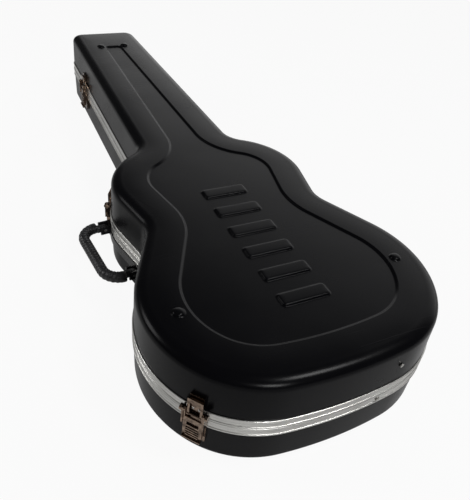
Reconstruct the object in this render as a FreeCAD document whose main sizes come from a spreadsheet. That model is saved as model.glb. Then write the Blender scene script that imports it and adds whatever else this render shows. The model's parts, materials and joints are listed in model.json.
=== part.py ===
import FreeCAD, Part
import math
import os

from FreeCAD import Placement, Rotation, Vector

# Hard-shell guitar case, lying closed on its back.
# Origin: on the floor, mid-length, on the centre line.
# +Y runs to the head end, +X to the hinge side, -X to the handle and latches, +Z up.
# Each half is a moulded tray with an aluminium strip round its open edge.

os.makedirs("parts", exist_ok=True)
doc = FreeCAD.newDocument("GuitarCase")

# ---------------------------------------------------------------- sizes (mm, degrees)
SIZES = {
    # outline of the strip's outer face; "along" is measured from the butt end
    "case_length": 1088.0,
    "butt_radius": 618.7,
    "corner_radius": 144.0,
    "lower_bout_half": 208.5,
    "lower_bout_radius": 167.4,
    "lower_bout_dip": 5.9,
    "waist_half": 148.5,
    "waist_along": 332.7,
    "waist_radius": 48.5,
    "upper_bout_half": 164.1,
    "upper_bout_above_waist": 92.1,
    "upper_bout_radius": 118.7,
    "shoulder_radius": 38.9,
    "neck_root_half": 87.4,
    "neck_root_along": 560.0,
    "neck_head_half": 75.0,
    "head_corner_radius": 26.6,
    # the two halves
    "base_height": 71.0,
    "lid_height": 78.0,
    "parting_gap": 0.4,
    "shell_wall": 3.0,
    "base_edge_radius": 10.0,
    "lid_edge_radius": 12.0,
    "panel_inset": 60.0,
    "panel_step": 3.0,
    "panel_head_gap": 98.0,
    "panel_end_radius": 10.0,
    "panel_round": 1.3,
    # aluminium strip on each half
    "strip_height": 14.0,
    "strip_thickness": 1.5,
    "strip_flange": 1.5,
    "strip_flange_width": 6.0,
    "strip_chamfer": 0.7,
    # raised details of the lid
    "bump_radius": 7.5,
    "bump_height": 4.0,
    "bump_round": 3.2,
    "bump_bout_across": 163.0,
    "bump_bout_along": 149.0,
    "bump_neck_across": 27.0,
    "bump_neck_gap": 98.0,
    "rib_length": 70.0,
    "rib_width": 22.0,
    "rib_height": 3.4,
    "rib_pitch": 49.0,
    "rib_count": 6.0,
    "rib_first_along": 128.0,
    "rib_round": 1.4,
    # padding
    "lining_wall": 12.0,
    "lining_floor": 9.0,
    "lining_drop": 4.0,
    # neck cradle
    "cradle_gap": 348.0,
    "cradle_thick": 50.0,
    "cradle_half": 58.0,
    "cradle_top": 88.0,
    "cradle_notch_radius": 30.0,
    "cradle_notch_depth": 24.0,
    # accessory compartment
    "box_gap": 128.0,
    "box_length": 160.0,
    "box_half": 42.0,
    "box_top": 46.0,
    "box_wall": 4.0,
    "box_lid_thick": 4.0,
    "box_lid_gap": 0.4,
    "box_hinge_inset": 4.0,
    "box_pin_radius": 1.5,
    "box_knuckle_radius": 2.9,
    "box_post_length": 6.0,
    "box_tab_length": 18.0,
    "box_tab_overhang": 3.0,
    "box_tab_width": 16.0,
    "box_tab_thick": 1.2,
    # running clearances
    "pin_clearance": 0.05,
    "side_clearance": 0.3,
    # lid hinges
    "hinge_half": 18.0,
    "hinge_plate": 1.5,
    "hinge_axis_out": 5.0,
    "hinge_knuckle_radius": 3.2,
    "hinge_mid_half": 6.0,
    "hinge_pin_radius": 1.5,
    "hinge_leaf_reach": 29.0,
    "hinge_leaf_start": 4.5,
    # draw latches
    "latch_half": 15.0,
    "latch_ear_thick": 2.0,
    "latch_plate": 1.5,
    "latch_low": 30.0,
    "latch_ear_low": 60.0,
    "latch_ear_out": 9.4,
    "latch_ear_in": 1.0,
    "latch_pivot_rise": 13.0,
    "latch_pivot_out": 6.0,
    "latch_pivot_radius": 1.8,
    "latch_pivot_length": 3.8,
    "latch_barrel_radius": 4.0,
    "latch_barrel_length": 3.2,
    "lever_thick": 2.0,
    "lever_front": 7.6,
    "lever_back": 2.4,
    "lever_low": 33.0,
    "lever_plate_top": 71.4,
    "lever_cheek_thick": 2.0,
    "lever_cheek_radius": 3.4,
    "lever_slot_low": 57.0,
    "lever_slot_high": 63.5,
    "lever_slot_half": 8.0,
    "lever_rib_count": 4.0,
    "lever_rib_pitch": 4.4,
    "lever_rib_height": 0.9,
    "lever_rib_width": 1.8,
    "lever_rib_low": 38.0,
    "lever_rib_half": 8.5,
    "lever_lip": 2.6,
    "bail_pin_radius": 1.2,
    "bail_pin_drop": 9.0,
    "bail_pin_out": 4.2,
    "bail_thick": 1.6,
    "bail_arm": 3.2,
    "bail_eye_radius": 2.0,
    "bail_bar_low": 96.0,
    "bail_bar_high": 103.0,
    "catch_half": 9.0,
    "catch_plate": 1.4,
    "catch_high": 108.0,
    "catch_lip_out": 2.9,
    "catch_lip_low": 97.0,
    "catch_lip_high": 101.0,
    "latch_corner_angle": -38.6,
    "latch_bout_angle": 31.0,
    "latch_neck_gap": 143.0,
    # carrying handle
    "handle_above_waist": 65.3,
    "handle_pitch": 120.0,
    "handle_axis_out": 12.0,
    "handle_axis_up": 54.0,
    "handle_grip_radius": 8.5,
    "handle_reach": 39.5,
    "handle_leg_half": 64.0,
    "handle_bend": 26.0,
    "handle_leg_start": 11.2,
    "handle_root_thick": 10.0,
    "handle_eye_radius": 6.5,
    "handle_eye_half": 5.0,
    "handle_pin_radius": 2.5,
    "handle_ear_thick": 3.0,
    "handle_ear_half": 7.5,
    "handle_foot_out": 5.0,
    "handle_plate_low": 42.0,
    "handle_plate_thick": 3.0,
    "handle_plate_half": 70.0,
    # rivets at the butt end
    "rivet_radius": 3.0,
    "rivet_head": 1.2,
    "rivet_strip_across": 50.8,
    "rivet_strip_up": 64.0,
    "rivet_skirt_across": 74.6,
    "rivet_skirt_up": 115.0,
}

sheet = doc.addObject("Spreadsheet::Sheet", "dim")
sheet.Label = "Sizes"
for row, (alias, number) in enumerate(SIZES.items(), start=1):
    sheet.set(f"A{row}", alias)
    sheet.set(f"B{row}", str(number))
    sheet.setAlias(f"B{row}", alias)
doc.recompute()


def size(alias):
    """Value of one named size in the sheet."""
    return float(sheet.get(alias))


# ---------------------------------------------------------------- outline
LENGTH = size("case_length")


def along(alias):
    """A distance from the butt end, turned into the case's own Y."""
    return size(alias) - LENGTH / 2


def from_head(alias):
    """A distance back from the head end, turned into the case's own Y."""
    return LENGTH / 2 - size(alias)


def direction(angle):
    return Vector(math.cos(angle), math.sin(angle), 0)


def angle_of(vector):
    return math.atan2(vector.y, vector.x)


def common_normal(first, second):
    """Angle of the outward normal where one arc hands over to the next.

    The radii are signed, negative for a hollow arc. The arcs touch, or a
    straight line tangent to both joins them.
    """
    centre_a, radius_a = first
    centre_b, radius_b = second
    step = centre_b - centre_a
    ratio = (radius_a - radius_b) / step.Length
    if abs(ratio) > 1 - 1e-9:
        angle = angle_of(step * math.copysign(1, ratio))
    else:
        angle = angle_of(step) - math.acos(ratio)
    return (angle + math.pi) % (2 * math.pi) - math.pi


def widest_hollow(bout_centre, bout_radius, waist_x, waist_y):
    """Largest waist radius that still leaves a tangent to a bout's arc."""
    across = waist_x - bout_centre.x
    rise = waist_y - bout_centre.y
    room = across ** 2 + rise ** 2 - bout_radius ** 2
    return room / (2 * max(bout_radius - across, 0.001))


def outline_arcs():
    """The right half's arcs from butt to head, with their joining angles."""
    butt_radius = size("butt_radius")
    side_radius = size("lower_bout_radius")
    corner_radius = min(size("corner_radius"), 0.96 * side_radius)
    upper_radius = size("upper_bout_radius")
    shoulder = size("shoulder_radius")
    head_radius = size("head_corner_radius")

    butt = Vector(0, butt_radius - LENGTH / 2, 0)
    side_y = side_radius - size("lower_bout_dip") - LENGTH / 2
    side = Vector(size("lower_bout_half") - side_radius, side_y, 0)

    # the corner arc touches the butt arc and the lower bout's arc from inside
    gap = side - butt
    reach_butt = butt_radius - corner_radius
    reach_side = side_radius - corner_radius
    foot = (reach_butt ** 2 - reach_side ** 2 + gap.Length ** 2) / (2 * gap.Length)
    lift = math.sqrt(max(reach_butt ** 2 - foot ** 2, 0))
    unit_gap = gap * (1 / gap.Length)
    corner = butt + unit_gap * foot + Vector(-unit_gap.y, unit_gap.x, 0) * lift

    waist_half = size("waist_half")
    waist_y = along("waist_along")
    upper_y = waist_y + size("upper_bout_above_waist")
    upper = Vector(size("upper_bout_half") - upper_radius, upper_y, 0)
    hollow = min(
        size("waist_radius"),
        0.98 * widest_hollow(side, side_radius, waist_half, waist_y),
        0.98 * widest_hollow(upper, upper_radius, waist_half, waist_y),
    )
    waist = Vector(waist_half + hollow, waist_y, 0)

    # the neck's straight side, and the hollow shoulder between it and the upper bout
    root = Vector(size("neck_root_half"), along("neck_root_along"), 0)
    tip = Vector(size("neck_head_half"), LENGTH / 2, 0)
    neck = (tip - root).normalize()
    outward = Vector(neck.y, -neck.x, 0)
    start = root + outward * shoulder - upper
    half_step = start.dot(neck)
    slack = half_step ** 2 - start.dot(start) + (upper_radius + shoulder) ** 2
    hollow_at = root + outward * shoulder + neck * (math.sqrt(max(slack, 0)) - half_step)

    head_line = root - outward * head_radius
    head_up = (LENGTH / 2 - head_radius - head_line.y) / neck.y
    head = head_line + neck * head_up

    arcs = [
        (butt, butt_radius),
        (corner, corner_radius),
        (side, side_radius),
        (waist, -hollow),
        (upper, upper_radius),
        (hollow_at, -shoulder),
        (head, head_radius),
    ]
    angles = [-math.pi / 2]
    for first, second in zip(arcs[:-2], arcs[1:-1]):
        angles.append(common_normal(first, second))
    angles.append(angle_of(outward))
    angles.append(math.pi / 2)
    return arcs, angles, outward


ARCS, ANGLES, NECK_OUT = outline_arcs()
BUTT, CORNER, SIDE, WAIST, UPPER, SHOULDER, HEAD = ARCS


def half_outline(inset, panel=False):
    """The right half offset inwards: (centre, signed radius, from, to) for each arc."""
    half = []
    for (centre, radius), begin, end in zip(ARCS, ANGLES[:-1], ANGLES[1:]):
        half.append((centre, radius - inset, begin, end))
    if panel:
        # the sunk panel stops short of the head with a small corner of its own
        margin = size("panel_inset") - inset
        radius = size("panel_end_radius") + margin
        root = Vector(size("neck_root_half"), along("neck_root_along"), 0)
        line = root - NECK_OUT * (inset + radius)
        neck = Vector(-NECK_OUT.y, NECK_OUT.x, 0)
        end_y = LENGTH / 2 - size("panel_head_gap") + margin
        centre = line + neck * ((end_y - radius - line.y) / neck.y)
        half[-1] = (centre, radius, ANGLES[-2], math.pi / 2)
    return half


def mirror(point):
    return Vector(-point.x, point.y, 0)


def outline_geometry(inset, panel=False):
    """Closed outline as arcs and lines, for a sketch or a wire."""
    up = Vector(0, 0, 1)
    half = half_outline(inset, panel)
    pieces = []
    butt_centre, butt_radius, _, butt_end = half[0]
    circle = Part.Circle(butt_centre, up, butt_radius)
    pieces.append(Part.ArcOfCircle(circle, -math.pi - butt_end, butt_end))
    last = butt_centre + direction(butt_end) * butt_radius
    for centre, radius, begin, end in half[1:]:
        first = centre + direction(begin) * radius
        if (first - last).Length > 0.0001:
            pieces.append(Part.LineSegment(last, first))
            pieces.append(Part.LineSegment(mirror(last), mirror(first)))
        right = Part.Circle(centre, up, abs(radius))
        left = Part.Circle(mirror(centre), up, abs(radius))
        if radius > 0:
            pieces.append(Part.ArcOfCircle(right, begin, end))
            pieces.append(Part.ArcOfCircle(left, math.pi - end, math.pi - begin))
        else:
            pieces.append(Part.ArcOfCircle(right, end + math.pi, begin + math.pi))
            pieces.append(Part.ArcOfCircle(left, -begin, -end))
        last = centre + direction(end) * radius
    pieces.append(Part.LineSegment(last, mirror(last)))
    return pieces


def outline_prism(inset, low, high):
    """Solid of the outline between two heights."""
    edges = [piece.toShape() for piece in outline_geometry(inset)]
    wire = Part.Wire(Part.__sortEdges__(edges))
    wire.translate(Vector(0, 0, low))
    return Part.Face(wire).extrude(Vector(0, 0, high - low))


def half_width_at(y):
    """Half-width of the case over the strip at one height along it."""
    last = None
    for centre, radius, begin, end in half_outline(0.0):
        first = centre + direction(begin) * radius
        finish = centre + direction(end) * radius
        if last is not None and last.y <= y <= first.y:
            return last.x + (first.x - last.x) * (y - last.y) / (first.y - last.y)
        if first.y <= y <= finish.y:
            return centre.x + math.copysign(math.sqrt(radius ** 2 - (y - centre.y) ** 2), radius)
        last = finish
    return last.x


# ---------------------------------------------------------------- building helpers
NODES = []


def keep(thing, label):
    """Name a finished sub-part; its label is also its file's name."""
    thing.Label = label
    NODES.append(thing)
    return thing


def new_body(name, placement=None):
    body = doc.addObject("PartDesign::Body", name + "_body")
    if placement is not None:
        body.Placement = placement
    return body


def outline_sketch(body, name, height, loops):
    """Sketch on the body's XY plane at a bound height, one closed outline per loop."""
    sketch = body.newObject("Sketcher::SketchObject", name)
    for feature in body.Origin.OriginFeatures:
        if feature.Role == "XY_Plane":
            sketch.AttachmentSupport = [(feature, "")]
    sketch.MapMode = "FlatFace"
    sketch.setExpression("AttachmentOffset.Base.z", height)
    for geometry in loops:
        sketch.addGeometry(geometry, False)
    return sketch


def pad(body, name, sketch, length, reverse=False):
    feature = body.newObject("PartDesign::Pad", name)
    feature.Profile = sketch
    feature.setExpression("Length", length)
    feature.Reversed = reverse
    doc.recompute()
    return feature


def pocket(body, name, sketch, depth, reverse=False):
    before = body.Shape.Volume
    feature = body.newObject("PartDesign::Pocket", name)
    feature.Profile = sketch
    feature.setExpression("Length", depth)
    feature.Reversed = reverse
    doc.recompute()
    if body.Shape.Volume >= before:
        raise ValueError(name + " cut nothing")
    return feature


def edges_at(shape, height, inside=None):
    """Names of the edges that lie flat at one height, optionally inside a reach."""
    names = []
    for number, edge in enumerate(shape.Edges, start=1):
        box = edge.BoundBox
        if abs(box.ZMin - height) > 0.001 or abs(box.ZMax - height) > 0.001:
            continue
        if inside is None or inside(edge):
            names.append(f"Edge{number}")
    return names


def fillet(body, name, base, names, radius):
    feature = body.newObject("PartDesign::Fillet", name)
    feature.Base = (base, names)
    feature.setExpression("Radius", radius)
    doc.recompute()
    return feature


def block(name, across, out, rise):
    """Box in a local frame: each span is a pair of sheet expressions."""
    box = doc.addObject("Part::Box", name)
    for side, place, (low, high) in zip(
        ("Length", "Width", "Height"), ("x", "y", "z"), (across, out, rise)
    ):
        box.setExpression(side, f"({high}) - ({low})")
        box.setExpression(f"Placement.Base.{place}", low)
    return box


def rod(name, radius, across, out, rise):
    """Cylinder along the local X, between two stated ends."""
    cylinder = doc.addObject("Part::Cylinder", name)
    cylinder.Placement = Placement(Vector(), Rotation(Vector(0, 1, 0), 90))
    cylinder.setExpression("Radius", radius)
    cylinder.setExpression("Height", f"({across[1]}) - ({across[0]})")
    cylinder.setExpression("Placement.Base.x", across[0])
    cylinder.setExpression("Placement.Base.y", out)
    cylinder.setExpression("Placement.Base.z", rise)
    return cylinder


def join(name, shapes):
    fused = doc.addObject("Part::MultiFuse", name)
    fused.Shapes = shapes
    fused.Refine = True
    return fused


def cut(name, base, tool):
    result = doc.addObject("Part::Cut", name)
    result.Base = base
    result.Tool = tool
    result.Refine = True
    return result


def local_frame(point, outward):
    """Local X runs along the wall, local Y points straight out of it, Z stays up."""
    tangent = outward.cross(Vector(0, 0, 1))
    matrix = FreeCAD.Matrix(
        tangent.x, outward.x, 0, point.x,
        tangent.y, outward.y, 0, point.y,
        0, 0, 1, 0,
        0, 0, 0, 1,
    )
    return Placement(matrix)


def wall_tool(name, frame, inset_low, inset_high, change):
    """The case's own walls seen from a local frame, to shape what seats on them."""
    top = size("base_height") + size("lid_height") + 20
    lower = outline_prism(inset_low, -20, change)
    upper = outline_prism(inset_high, change, top)
    shape = lower.fuse(upper)
    shape.Placement = frame.inverse().multiply(shape.Placement)
    tool = doc.addObject("Part::Feature", name)
    tool.Shape = shape
    return tool


# heights as sheet expressions
BASE_TOP = "(dim.base_height - dim.parting_gap / 2)"
LID_LOW = "(dim.base_height + dim.parting_gap / 2)"
STRIP_LOW = size("base_height") - size("parting_gap") / 2 - size("strip_height")
STRIP_HIGH = size("base_height") + size("parting_gap") / 2 + size("strip_height")
SKIN = size("strip_thickness")
WALL = size("shell_wall")
OVERALL = size("base_height") + size("lid_height")

# a lid piece is built like its base partner and turned over about the case's length
UPRIGHT = Placement()
TURNED = Placement(Vector(0, 0, OVERALL), Rotation(Vector(0, 1, 0), 180))


# ---------------------------------------------------------------- moulded shells
def build_shell(half, placement):
    """Tray with a rounded rim and a sunk central panel on its outer face."""
    body = new_body(f"{half}_shell", placement)
    height = f"dim.{half}_height - dim.parting_gap / 2 - dim.strip_flange"
    radius = f"dim.{half}_edge_radius"

    outer = outline_sketch(body, f"{half}_outer", "0", [outline_geometry(SKIN)])
    pad(body, f"{half}_block", outer, height)
    inner = outline_sketch(body, f"{half}_inner", height, [outline_geometry(SKIN + WALL)])
    hollow = pocket(body, f"{half}_hollow", inner, f"{height} - dim.shell_wall")
    floor = edges_at(hollow.Shape, WALL)
    inside = fillet(body, f"{half}_inner_round", hollow, floor, f"{radius} - dim.shell_wall")
    fillet(body, f"{half}_outer_round", inside, edges_at(inside.Shape, 0), radius)

    inset = size("panel_inset")
    plate = outline_sketch(
        body, f"{half}_panel_plate", "dim.shell_wall", [outline_geometry(inset - WALL, True)]
    )
    plate_pad = pad(body, f"{half}_panel_pad", plate, "dim.panel_step")
    sunk = outline_sketch(body, f"{half}_panel_line", "0", [outline_geometry(inset, True)])
    panel = pocket(body, f"{half}_panel", sunk, "dim.panel_step", reverse=True)

    border = inset - 2
    limit = outline_prism(border, -1, size("panel_step") + 1)

    def on_panel(edge):
        middle = edge.valueAt((edge.FirstParameter + edge.LastParameter) / 2)
        return limit.isInside(middle, 0.01, True)

    rim = edges_at(panel.Shape, 0, on_panel)
    fillet(body, f"{half}_panel_round", panel, rim, "dim.panel_round")
    return body


def add_lid_details(body):
    """Four round stacking bumps on the rim and a row of ribs on the panel."""
    up = Vector(0, 0, 1)
    bumps = []
    for across, reach in (
        (size("bump_bout_across"), along("bump_bout_along")),
        (size("bump_neck_across"), from_head("bump_neck_gap")),
    ):
        for side in (-1, 1):
            bumps.append(Part.Circle(Vector(side * across, reach, 0), up, size("bump_radius")))
    sketch = outline_sketch(body, "lid_bump_circles", "0", [bumps])
    raised = pad(body, "lid_bumps", sketch, "dim.bump_height", reverse=True)
    tops = edges_at(raised.Shape, -size("bump_height"))
    rounded = fillet(body, "lid_bump_round", raised, tops, "dim.bump_round")

    length = size("rib_length") / 2
    width = size("rib_width") / 2
    first = along("rib_first_along")
    ends = length - width
    quarter = math.pi / 2
    slot = [
        Part.LineSegment(Vector(-ends, first - width, 0), Vector(ends, first - width, 0)),
        Part.ArcOfCircle(Part.Circle(Vector(ends, first, 0), up, width), -quarter, quarter),
        Part.LineSegment(Vector(ends, first + width, 0), Vector(-ends, first + width, 0)),
        Part.ArcOfCircle(
            Part.Circle(Vector(-ends, first, 0), up, width), quarter, 3 * quarter
        ),
    ]
    sketch = outline_sketch(body, "lid_rib_line", "dim.panel_step", [slot])
    rib = pad(body, "lid_rib", sketch, "dim.rib_height", reverse=True)
    pattern = body.newObject("PartDesign::LinearPattern", "lid_ribs")
    pattern.Originals = [rib]
    pattern.Direction = (sketch, ["V_Axis"])
    pattern.setExpression("Length", "dim.rib_pitch * (dim.rib_count - 1)")
    pattern.setExpression("Occurrences", "dim.rib_count")
    body.Tip = pattern
    doc.recompute()
    tops = edges_at(pattern.Shape, size("panel_step") - size("rib_height"))
    fillet(body, "lid_rib_round", pattern, tops, "dim.rib_round")


base_shell = keep(build_shell("base", UPRIGHT), "base_shell")
lid_shell = build_shell("lid", TURNED)
add_lid_details(lid_shell)
keep(lid_shell, "lid_shell")


# ---------------------------------------------------------------- aluminium strips
def build_strip(half, placement):
    """Angle strip: a face outside the wall and a flange over the wall's edge."""
    body = new_body(f"{half}_strip", placement)
    top = f"dim.{half}_height - dim.parting_gap / 2"
    face = outline_sketch(
        body, f"{half}_strip_face_line", f"{top} - dim.strip_height",
        [outline_geometry(0.0), outline_geometry(SKIN)],
    )
    pad(body, f"{half}_strip_face", face, "dim.strip_height")
    flange = outline_sketch(
        body, f"{half}_strip_flange_line", f"{top} - dim.strip_flange",
        [outline_geometry(0.0), outline_geometry(size("strip_flange_width"))],
    )
    both = pad(body, f"{half}_strip_flange", flange, "dim.strip_flange")
    high = size(f"{half}_height") - size("parting_gap") / 2
    inner = outline_prism(size("strip_flange_width") / 2, high - 1, high + 1)

    def outer_edge(edge):
        middle = edge.valueAt((edge.FirstParameter + edge.LastParameter) / 2)
        return not inner.isInside(middle, 0.01, True)

    chamfer = body.newObject("PartDesign::Chamfer", f"{half}_strip_chamfer")
    chamfer.Base = (both, edges_at(both.Shape, high, outer_edge))
    chamfer.setExpression("Size", "dim.strip_chamfer")
    doc.recompute()
    return body


base_valance = keep(build_strip("base", UPRIGHT), "base_valance")
lid_valance = keep(build_strip("lid", TURNED), "lid_valance")


# ---------------------------------------------------------------- padding
def build_lining(half, placement):
    """Plush-faced foam tray that fills the shell's inside."""
    body = new_body(f"{half}_lining", placement)
    low = "dim.shell_wall + dim.panel_step"
    high = f"dim.{half}_height - dim.lining_drop"
    outer = outline_sketch(body, f"{half}_foam_line", low, [outline_geometry(SKIN + WALL)])
    foam = pad(body, f"{half}_foam", outer, f"{high} - ({low})")
    bottom = edges_at(foam.Shape, WALL + size("panel_step"))
    fillet(
        body, f"{half}_foam_round", foam, bottom,
        f"dim.{half}_edge_radius - dim.shell_wall - dim.panel_step",
    )
    inset = SKIN + WALL + size("lining_wall")
    inner = outline_sketch(body, f"{half}_cavity_line", high, [outline_geometry(inset)])
    pocket(body, f"{half}_cavity", inner, f"{high} - ({low}) - dim.lining_floor")
    return body


base_lining = keep(build_lining("base", UPRIGHT), "base_lining")
lid_lining = keep(build_lining("lid", TURNED), "lid_lining")

CAVITY_FLOOR = "(dim.shell_wall + dim.panel_step + dim.lining_floor)"
HALF = "dim.case_length / 2"

# ---------------------------------------------------------------- neck cradle
cradle_block = block(
    "cradle_block",
    ("-dim.cradle_half", "dim.cradle_half"),
    (f"{HALF} - dim.cradle_gap - dim.cradle_thick / 2",
     f"{HALF} - dim.cradle_gap + dim.cradle_thick / 2"),
    (CAVITY_FLOOR, "dim.cradle_top"),
)
notch = doc.addObject("Part::Cylinder", "cradle_notch")
notch.Placement = Placement(Vector(), Rotation(Vector(1, 0, 0), -90))
notch.setExpression("Radius", "dim.cradle_notch_radius")
notch.setExpression("Height", "dim.cradle_thick + 2")
notch.setExpression("Placement.Base.y", f"{HALF} - dim.cradle_gap - dim.cradle_thick / 2 - 1")
notch.setExpression(
    "Placement.Base.z", "dim.cradle_top - dim.cradle_notch_depth + dim.cradle_notch_radius"
)
keep(cut("cradle", cradle_block, notch), "neck_cradle")

# ---------------------------------------------------------------- accessory compartment
BOX_FRONT = f"({HALF} - dim.box_gap)"
BOX_BACK = f"({BOX_FRONT} - dim.box_length)"
AXIS_ACROSS = "(dim.box_half - dim.box_hinge_inset)"
AXIS_UP = "(dim.box_top + dim.box_lid_gap + dim.box_knuckle_radius)"
box_outer = block(
    "box_outer", ("-dim.box_half", "dim.box_half"), (BOX_BACK, BOX_FRONT),
    (CAVITY_FLOOR, "dim.box_top"),
)
box_inner = block(
    "box_inner",
    ("-dim.box_half + dim.box_wall",
     "dim.box_half - 2 * dim.box_hinge_inset"),
    (f"{BOX_BACK} + dim.box_wall", f"{BOX_FRONT} - dim.box_wall"),
    (f"{CAVITY_FLOOR} + dim.box_wall", "dim.box_top + 1"),
)
box_tray = cut("box_tray", box_outer, box_inner)
posts = []
for place, low, high in (
    ("back", BOX_BACK, f"{BOX_BACK} + dim.box_post_length"),
    ("front", f"{BOX_FRONT} - dim.box_post_length", BOX_FRONT),
):
    posts.append(block(
        f"box_post_{place}",
        (f"{AXIS_ACROSS} - dim.box_knuckle_radius", "dim.box_half"),
        (low, high),
        ("dim.box_top - 1", f"{AXIS_UP} + dim.box_knuckle_radius"),
    ))
box_body = join("box_body", [box_tray] + posts)


def long_rod(name, radius, low, high):
    """Cylinder along the case on the compartment lid's axis."""
    cylinder = doc.addObject("Part::Cylinder", name)
    cylinder.Placement = Placement(Vector(), Rotation(Vector(1, 0, 0), -90))
    cylinder.setExpression("Radius", radius)
    cylinder.setExpression("Height", f"({high}) - ({low})")
    cylinder.setExpression("Placement.Base.x", AXIS_ACROSS)
    cylinder.setExpression("Placement.Base.y", low)
    cylinder.setExpression("Placement.Base.z", AXIS_UP)
    return cylinder


keep(
    cut("box_final", box_body, long_rod("box_bore", "dim.box_pin_radius", BOX_BACK, BOX_FRONT)),
    "accessory_box",
)
keep(long_rod("box_pin", "dim.box_pin_radius", BOX_BACK, BOX_FRONT), "accessory_hinge_pin")
LID_BACK = f"{BOX_BACK} + dim.box_post_length + dim.side_clearance"
LID_FRONT = f"{BOX_FRONT} - dim.box_post_length - dim.side_clearance"
box_lid_plate = block(
    "box_lid_plate", ("-dim.box_half", AXIS_ACROSS), (LID_BACK, LID_FRONT),
    (f"{AXIS_UP} - dim.box_lid_thick / 2", f"{AXIS_UP} + dim.box_lid_thick / 2"),
)
box_knuckle = long_rod("box_knuckle", "dim.box_knuckle_radius", LID_BACK, LID_FRONT)
box_lid = join("box_lid", [box_lid_plate, box_knuckle])
box_lid_bore = long_rod(
    "box_lid_bore", "dim.box_pin_radius + dim.pin_clearance",
    f"{LID_BACK} - 1", f"{LID_FRONT} + 1",
)
keep(cut("box_lid_final", box_lid, box_lid_bore), "accessory_lid")
MID_BOX = f"({BOX_BACK} + dim.box_length / 2)"
tab = block(
    "box_tab",
    ("-dim.box_half - dim.box_tab_overhang",
     "-dim.box_half - dim.box_tab_overhang + dim.box_tab_length"),
    (f"{MID_BOX} - dim.box_tab_width / 2", f"{MID_BOX} + dim.box_tab_width / 2"),
    (f"{AXIS_UP} + dim.box_lid_thick / 2",
     f"{AXIS_UP} + dim.box_lid_thick / 2 + dim.box_tab_thick"),
)
keep(tab, "accessory_pull_tab")


# ---------------------------------------------------------------- lid hinges
def outer_tangent(arc):
    """Outward normal of the straight line that touches the lower bout and this arc."""
    gap = arc[0] - SIDE[0]
    return angle_of(gap) - math.acos((SIDE[1] - arc[1]) / gap.Length)


# no part of the outline may cross the hinge line, or the halves would meet in turning
HINGE_NORMAL = min(outer_tangent(UPPER), outer_tangent(HEAD))


def reach_out(arc):
    """How far an arc reaches along the hinge line's outward normal."""
    return arc[0].dot(direction(HINGE_NORMAL)) + arc[1]


def build_hinge(name, centre, radius):
    """Butt hinge: base leaf with two knuckles, lid leaf with one, and a pin."""
    outward = direction(HINGE_NORMAL)
    stand_off = reach_out(SIDE) - reach_out((centre, radius))
    frame = local_frame(centre + outward * radius, outward)
    span = ("-dim.hinge_half", "dim.hinge_half")
    middle = ("-dim.hinge_mid_half", "dim.hinge_mid_half")
    inner = "(dim.hinge_mid_half + dim.side_clearance)"
    knuckle = "dim.hinge_knuckle_radius"
    axis = f"(dim.hinge_axis_out + {stand_off:.6f})"
    up = "dim.base_height"
    ends = (("-dim.hinge_half", f"-{inner}"), (inner, "dim.hinge_half"))

    start = "dim.hinge_leaf_start"
    pieces = [block(
        f"{name}_base_plate", span, ("-8", "dim.hinge_plate"),
        (f"{up} - dim.hinge_leaf_reach", f"{up} - {start}"),
    )]
    for side, ends_span in zip("ab", ends):
        pieces.append(block(
            f"{name}_base_arm_{side}", ends_span, ("-3", axis),
            (f"{up} - {start} - 2", f"{BASE_TOP} - 0.3"),
        ))
        pieces.append(rod(f"{name}_base_knuckle_{side}", knuckle, ends_span, axis, up))
    base = join(f"{name}_base_rough", pieces)
    seat = wall_tool(f"{name}_base_seat", frame, SKIN, 0.0, STRIP_LOW)
    bore = rod(
        f"{name}_base_bore", "dim.hinge_pin_radius",
        ("-dim.hinge_half - 1", "dim.hinge_half + 1"), axis, up,
    )
    leaf = cut(f"{name}_base", cut(f"{name}_base_seated", base, seat), bore)
    leaf.Placement = frame
    keep(leaf, f"{name}_base_leaf")

    pieces = [
        block(
            f"{name}_lid_plate", span, ("-8", "dim.hinge_plate"),
            (f"{up} + {start}", f"{up} + dim.hinge_leaf_reach"),
        ),
        block(
            f"{name}_lid_arm", middle, ("-3", axis),
            (f"{LID_LOW} + 0.3", f"{up} + {start} + 2"),
        ),
        rod(f"{name}_lid_knuckle", knuckle, middle, axis, up),
    ]
    lid = join(f"{name}_lid_rough", pieces)
    seat = wall_tool(f"{name}_lid_seat", frame, 0.0, SKIN, STRIP_HIGH)
    bore = rod(
        f"{name}_lid_bore", "dim.hinge_pin_radius + dim.pin_clearance",
        ("-dim.hinge_half - 1", "dim.hinge_half + 1"), axis, up,
    )
    leaf = cut(f"{name}_lid", cut(f"{name}_lid_seated", lid, seat), bore)
    leaf.Placement = frame
    keep(leaf, f"{name}_lid_leaf")

    pin = join(f"{name}_pin", [
        rod(f"{name}_pin_rod", "dim.hinge_pin_radius", span, axis, up),
        rod(
            f"{name}_pin_head", "dim.hinge_pin_radius + 1",
            ("dim.hinge_half", "dim.hinge_half + 1"), axis, up,
        ),
    ])
    pin.Placement = frame
    keep(pin, f"{name}_pin_piece")


build_hinge("hinge_lower", SIDE[0], SIDE[1])
build_hinge("hinge_upper", UPPER[0], UPPER[1])


# ---------------------------------------------------------------- draw latches
PIVOT_UP = "(dim.base_height + dim.latch_pivot_rise)"
PIVOT_OUT = "dim.latch_pivot_out"
BAIL_UP = f"({PIVOT_UP} - dim.bail_pin_drop)"
EAR_IN = "(dim.latch_half - dim.latch_ear_thick)"
CHEEK_OUT = f"({EAR_IN} - dim.side_clearance)"
CHEEK_IN = f"({CHEEK_OUT} - dim.lever_cheek_thick)"
BAIL_HALF = f"({CHEEK_IN} - dim.side_clearance - 0.2)"


def both_sides(name, low, high, out, rise):
    """The same block at the left and right of a latch."""
    return [
        block(f"{name}_a", (f"-({high})", f"-({low})"), out, rise),
        block(f"{name}_b", (low, high), out, rise),
    ]


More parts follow.
